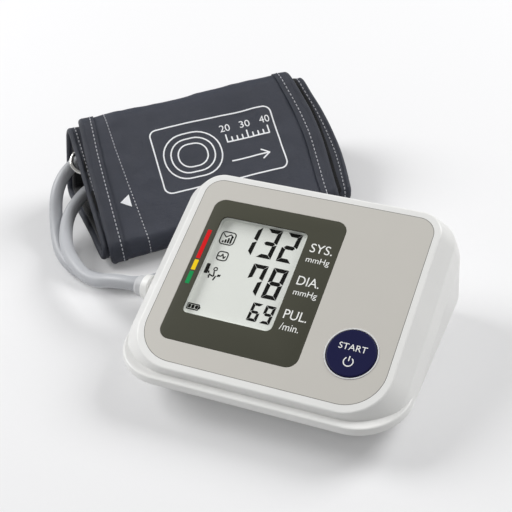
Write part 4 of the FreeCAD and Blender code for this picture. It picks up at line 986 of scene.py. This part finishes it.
def turn_sheet(name, inset, start, end, step):
    """One turn of the roll as a thin sheet, cut fine enough to fold."""
    corners = roll_corners(inset)
    (left, floor, _), (right, _, _), (_, high, _), (_, low, _) = corners
    edit(add_block(name, (left, floor, start), (right, high, end)))
    pick("VERT", lambda v: v.co.x < left + MM and v.co.y > high - MM)
    bpy.ops.transform.translate(value=(0.0, low - high, 0.0))
    cut_out(level)
    slant = math.atan(CUFF_RISE)
    halves = (math.pi / 4, math.pi / 4, (math.pi / 2 - slant) / 2, (math.pi / 2 + slant) / 2)
    for (across, up, radius), half in zip(corners, halves):
        pick("EDGE", lambda e: all(abs(v.co.x - across) < 1e-5 and abs(v.co.y - up) < 1e-5
                                   for v in e.verts))
        bevel(radius / math.tan(half), 9, clamp_overlap=False)
    for axis, low_end, high_end in ((2, start, end), (0, left, right)):
        cuts = max(2, round((high_end - low_end) / step))
        normal = [float(i == axis) for i in range(3)]
        for cut in range(1, cuts):
            place = low_end + (high_end - low_end) * cut / cuts
            bisect([place * n for n in normal], normal)
    pick_all()
    bpy.ops.mesh.remove_doubles(threshold=0.4 * MM)
    return leave_edit()


def fold(sheet, depth, size):
    """Press shallow folds into a sheet, inwards only."""
    texture = bpy.data.textures.new("cloth_folds", "CLOUDS")
    texture.noise_scale = size
    texture.noise_depth = 2
    return modify(sheet, "DISPLACE", texture=texture, strength=depth, mid_level=1.0,
                  texture_coords="LOCAL")


def folded_turn(name, inset, start, end, step, folds, creases=0.0):
    """A turn's sheet with its broad folds and, if asked, finer creases."""
    sheet = fold(turn_sheet(name, inset, start, end, step), folds, BROAD_FOLD)
    return fold(sheet, creases, FINE_FOLD) if creases else sheet


def thicken(sheet, thickness, rounding=0.0):
    """Give a sheet its thickness and, if asked, rounded ends."""
    modify(sheet, "SOLIDIFY", thickness=thickness, offset=-1.0)
    if rounding:
        edit(sheet)
        pick("FACE", lambda f: level(f, 0.75))
        bpy.ops.mesh.region_to_loop()
        bevel(rounding, 4, clamp_overlap=True)
        leave_edit()
    return smooth(sheet, 60.0)


def seam_path(sheet, place, lean=0.0):
    """The line round a sheet at one place along the roll, as a curve."""
    edit(copy_of(sheet))
    bisect((0, 0, place), (lean, 0, 1), clear_inner=True, clear_outer=True)
    leave_edit()
    bpy.ops.object.convert(target="CURVE")
    path = bpy.context.object
    path.data.dimensions = "3D"
    path.data.twist_mode = "Z_UP"
    return path


def stitch_row(sheet, place, long, pitch, wide=0.52 * MM, lean=0.0):
    """A row of stitches round a sheet."""
    path = seam_path(sheet, place, lean)
    stitch = add_block("stitches", (0.0, -wide / 2, -wide / 2), (long, wide / 2, wide / 2))
    modify(stitch, "BEVEL", width=wide * 0.3, segments=2, limit_method="ANGLE")
    modify(stitch, "ARRAY", fit_type="FIT_CURVE", curve=path, use_relative_offset=False,
           use_constant_offset=True, constant_offset_displace=(pitch, 0.0, 0.0))
    modify(stitch, "CURVE", object=path, deform_axis="POS_X")
    bpy.data.objects.remove(path)
    return stitch


# How a cage is pulled: where (across, up, along), by how much, and how far round.
OUTER_PULLS = (((30, 46, -3), (0, 0, 3.0), 30), ((41, 30, -3), (0, 0, -3.0), 22),
               ((-6, 36, 124), (0, 0, 2.6), 36), ((36, 48, 124), (0, 0, -6.0), 30),
               ((-41, 2, 50), (0, 2.4, 0), 36), ((34, 52, 112), (0, 2.2, 0), 44))
INNER_PULLS = (((-14, 24, 134), (0, 0, 4.6), 44), ((38, 50, 134), (0, 0, -5.5), 30),
               ((0, 34, 134), (0, -2.0, 0), 52), ((34, 50, 112), (0, 2.0, 0), 44))
INNER_LEAN = (-0.125, 0.18)


def cage_of(name, pulls, lean=(0.0, 0.0)):
    """A lattice round the roll, pulled about at a few places and leaned at its left end."""
    low, high = Vector((-48, -8, -24)) * MM, Vector((48, 64, 148)) * MM
    cage = new(name, bpy.ops.object.add, type="LATTICE", location=(low + high) / 2)
    cage.scale = high - low
    cage.data.points_u, cage.data.points_v, cage.data.points_w = 9, 7, 14
    bpy.context.view_layer.update()
    for place, shift, reach in pulls:
        target = cage.matrix_world.inverted() @ (Vector(place) * MM)
        nearest = min(cage.data.points, key=lambda point: (point.co - target).length)
        pull([nearest], mm(*shift), use_proportional_edit=True,
             proportional_edit_falloff="SMOOTH", proportional_size=reach * MM)
    ends = [point for point in cage.data.points if point.co.z < -0.3]
    for axis, share in enumerate(lean):
        for row in sorted({round(point.co[axis], 3) for point in ends if share}):
            reach = low[axis] + (row + 0.5) * (high[axis] - low[axis])
            pull([point for point in ends if abs(point.co[axis] - row) < 0.01],
                 (0.0, 0.0, share * reach))
    return cage


def pull(points, shift, **reach):
    """Move some points of the active cage."""
    switch("EDIT")
    bpy.ops.lattice.select_all(action="DESELECT")
    switch("OBJECT")
    for point in points:
        point.select = True
    switch("EDIT")
    bpy.ops.transform.translate(value=shift, **reach)
    switch("OBJECT")


def on_roll(piece, cage, material, *stands_for):
    """Shape a piece by a cage, lay it in the roll's frame and hand it over."""
    modify(piece, "LATTICE", object=cage)
    return hand_over(lay(piece, SECTION), "cuff_set", "cuff_navy", material, *stands_for)


def bound_edge(name, inset, start, end, thickness, outward, stitch_in, settings):
    """A tape folded over a turn's end, with a rounded rim and its row of stitches."""
    tape = folded_turn(name, inset - 0.45 * MM, start, end, 1.6 * MM, settings.folds, 0.25 * MM)
    place = start if outward < 0 else end
    row = stitch_row(tape, place - outward * stitch_in, settings.stitch, settings.pitch)
    thicken(tape, thickness + 0.75 * MM)
    sheet = folded_turn("rim", inset + thickness / 2, place - 4 * MM, place + 4 * MM, 2 * MM,
                        settings.folds)
    rim = seam_path(sheet, place)
    bpy.data.objects.remove(sheet)
    rim.data.bevel_depth = thickness / 2 + 0.6 * MM
    rim.data.bevel_resolution = 5
    return join(name, [tape, act(bpy.ops.object.convert, rim, target="MESH")]), row


class MONITOR_OT_cuff_turns(Operator):
    """The rolled cuff: outside turn, inner turns, bound edges and seams."""

    bl_idname = "monitor.cuff_turns"
    bl_label = "Cuff turns"

    def execute(self, context):
        settings = context.scene.monitor_cuff
        cloth = coated_cloth("cuff_cloth", settings.cloth, 0.5, Sheen_Weight=0.05,
                             Sheen_Roughness=0.35)
        tape_cloth = coated_cloth("binding_cloth", shade_of(settings.cloth, 0.85), 0.55, lift=0.6,
                                  Sheen_Weight=0.04, Sheen_Roughness=0.5)
        lining = loop_pile(settings.lining)
        sewing = thread(settings.thread)
        outer = cage_of("outer_cage", OUTER_PULLS)
        inner = cage_of("inner_cage", INNER_PULLS, lean=INNER_LEAN)
        turns = (("outer", outer, 0.0, settings.turn, 0.0, CUFF_WIDTH, 4.6 * MM, cloth,
                  tape_cloth, "cuff_outer_wrap", "air_bladder"),
                 ("middle", inner, 3.9 * MM, 2.0 * MM, -10.4 * MM, CUFF_WIDTH + 7.6 * MM,
                  2.2 * MM, cloth, tape_cloth, "cuff_inner_wrap"),
                 # The inner turn's bound edges take the dark lining cloth rather than the binding
                 # cloth: painted shade that darkens the roll's opening.
                 ("inner", inner, 6.4 * MM, 1.8 * MM, -8.0 * MM, CUFF_WIDTH + 5.0 * MM,
                  2.2 * MM, lining, lining))
        creases = settings.folds * 0.3
        for (name, cage, inset, thickness, start, end, stitch_in, material, tape_material,
             *stands_for) in turns:
            sheet = folded_turn("cuff_%s_turn" % name, inset, start, end, 1.8 * MM,
                                settings.folds, creases)
            rows = []
            if name == "outer":
                rows.append(stitch_row(sheet, 15.6 * MM, settings.stitch * 0.8,
                                       settings.pitch * 0.85, wide=0.5 * MM, lean=0.09))
            thicken(sheet, thickness, thickness * 0.4)
            on_roll(sheet, cage, material, *stands_for)
            for side, low, high, outward in (("left", start, start + 6.6 * MM, -1),
                                             ("right", end - 7.6 * MM, end, 1)):
                tape, row = bound_edge("cuff_%s_%s_binding" % (name, side), inset, low, high,
                                       thickness, outward, stitch_in, settings)
                on_roll(tape, cage, tape_material)
                rows.append(row)
            smooth(on_roll(join("cuff_%s_stitches" % name, rows), cage, sewing))
        # A dark loop-pile sheet just inside the outer turn that shows past its ends: partly the
        # cuff's real closing pile, partly painted shade in the gap between the turns.
        strip = folded_turn("cuff_loop_strip", settings.turn + 0.15 * MM, -3.7 * MM,
                            CUFF_WIDTH + 4.6 * MM, 1.8 * MM, settings.folds, creases)
        thicken(strip, 0.5 * MM)
        on_roll(strip, outer, lining)
        bpy.data.objects.remove(outer)
        bpy.data.objects.remove(inner)
        return {"FINISHED"}


# The cuff's print is drawn flat over the slope, in millimetres, and dropped on the cloth.
PRINT_OUT, PRINT_TOP = 2.0, 2.1
PRINT_LINE = 0.8


def print_stroke(start, end):
    """A straight printed line with soft ends."""
    run = Vector(end) - Vector(start)
    half = PRINT_LINE / 2
    rounded_plate("stroke", (-half, -half), (run.length + half, half), 0.0,
                  PRINT_TOP - PRINT_OUT, PRINT_LINE * 0.45, segments=3)
    return turn_and_move(math.atan2(run.y, run.x), mm(*start, PRINT_OUT))


class MONITOR_OT_cuff_print(Operator):
    """White print on the cuff: a frame with plain signs, and the triangle by the edge."""

    bl_idname = "monitor.cuff_print"
    bl_label = "Cuff print"

    def execute(self, context):
        parts = [outline_plate((34.0, 22.8), (103.6, 63.6), PRINT_OUT, PRINT_TOP, 4.5, PRINT_LINE),
                 self.triangle(), *self.signs()]
        print_work = join("cuff_print", parts)
        edit(print_work)
        cut_out(lambda f: f.normal.z < LEVEL)
        for step in range(4, 53):
            for normal in ((1, 0, 0), (0, 1, 0)):
                bisect((step * 2 * MM, step * 1.3 * MM, 0), normal)
        leave_edit()
        print_work.matrix_world = SLOPE
        modify(print_work, "SHRINKWRAP", target=bpy.data.objects["cuff_outer_turn"],
               wrap_method="PROJECT", use_project_z=True, use_negative_direction=True,
               use_positive_direction=True, offset=0.12 * MM)
        modify(print_work, "SOLIDIFY", thickness=0.2 * MM, offset=-1.0)
        settle()
        hand_over(print_work, "cuff_set", "cuff_navy",
                  printed("print_white", linear(248, 249, 252), 0.55))
        return {"FINISHED"}

    def triangle(self):
        """The mark that the artery's place is set to."""
        centre = mm(13.4, 25.0, PRINT_OUT)
        edit(add_disc("mark", 4.3 * MM, centre, sides=3))
        pick_all()
        bpy.ops.transform.rotate(value=math.radians(30), orient_axis="Z", center_override=centre)
        bpy.ops.transform.resize(value=(0.83, 1.0, 1.0), center_override=centre)
        raise_faces((PRINT_TOP - PRINT_OUT) * MM)
        return leave_edit()

    def signs(self):
        """A rolled band seen from its end, an arrow for its pull, and a scale with numbers."""
        parts = [outline_plate((54.5 - half * 1.15, 43.2 - half), (54.5 + half * 1.15, 43.2 + half),
                               PRINT_OUT, PRINT_TOP, half * 0.95, PRINT_LINE)
                 for half in (14.2, 10.8, 7.4)]
        tip, base = (95.5, 34.5), 46.5
        lines = [((74.5, 34.5), tip), (tip, (91.5, 37.2)), (tip, (91.5, 31.8)),
                 ((75.0, base), (99.0, base))]
        lines += [((x, base), (x, 51.0 if x in (75, 87, 99) else 49.0)) for x in range(75, 100, 3)]
        parts += [print_stroke(*ends) for ends in lines]
        return parts + [lettering(number, left, 53.2, 5.8, 4.2, PRINT_OUT, PRINT_TOP - PRINT_OUT)
                        for number, left in (("20", 72.7), ("30", 84.1), ("40", 95.5))]


RING_ACROSS = 16.0 * MM
RING_INSET = 10.45 * MM


class MONITOR_OT_ring_sleeve(Operator):
    """Sewn cloth sleeve that holds the wire ring inside the roll."""

    bl_idname = "monitor.ring_sleeve"
    bl_label = "Ring sleeve"

    def execute(self, context):
        start, end, half, thick = mm(6.2, 116.8, 2.0, 1.95)
        up = (RING_ACROSS + CUFF_HALF) * math.hypot(1.0, CUFF_RISE) + 7.3 * MM
        sleeve = add_block("ring_sleeve_cloth", (start, up - half, -RING_INSET - thick),
                           (end, up + half, -RING_INSET + thick))
        edit(sleeve)
        pick("EDGE", spans(0, 50 * MM))
        bevel(1.7 * MM, 5)
        for cut in range(1, 28):
            bisect((start + cut * 4 * MM, 0, 0), (1, 0, 0))
        leave_edit()
        fold(sleeve, 0.3 * MM, 7 * MM)
        hand_over(smooth(lay(sleeve, SLOPE)), "cuff_set", "cuff_navy",
                  bpy.data.materials["binding_cloth"], "ring_sleeve")
        return {"FINISHED"}


# -------- add-on
STEPS = (MONITOR_OT_stage, MONITOR_OT_hose, MONITOR_OT_case, MONITOR_OT_window,
         MONITOR_OT_readings, MONITOR_OT_symbols, MONITOR_OT_labels, MONITOR_OT_button_marks,
         MONITOR_OT_cuff_turns, MONITOR_OT_cuff_print, MONITOR_OT_ring_sleeve)
SETTINGS = {"monitor_case": CaseSettings, "monitor_display": DisplaySettings,
            "monitor_cuff": CuffSettings, "monitor_hose": HoseSettings,
            "monitor_stage": StageSettings}


class MONITOR_PT_build(Panel):
    """Steps that build the monitor, and what can be changed first."""

    bl_idname = "MONITOR_PT_build"
    bl_label = "Blood pressure monitor"
    bl_space_type = "VIEW_3D"
    bl_region_type = "UI"
    bl_category = "Monitor"

    def draw(self, context):
        for step in STEPS:
            self.layout.operator(step.bl_idname)
        for name, group in SETTINGS.items():
            box = self.layout.box()
            for setting in group.__annotations__:
                box.prop(getattr(context.scene, name), setting)


def register():
    for group in (*SETTINGS.values(), *STEPS, MONITOR_PT_build):
        bpy.utils.register_class(group)
    for name, group in SETTINGS.items():
        setattr(Scene, name, PointerProperty(type=group))


def unregister():
    for name in SETTINGS:
        delattr(Scene, name)
    for group in (MONITOR_PT_build, *reversed(STEPS), *SETTINGS.values()):
        bpy.utils.unregister_class(group)


def main():
    register()
    for step in STEPS:
        group, name = step.bl_idname.split(".")
        getattr(getattr(bpy.ops, group), name)()


if __name__ == "__main__":
    main()
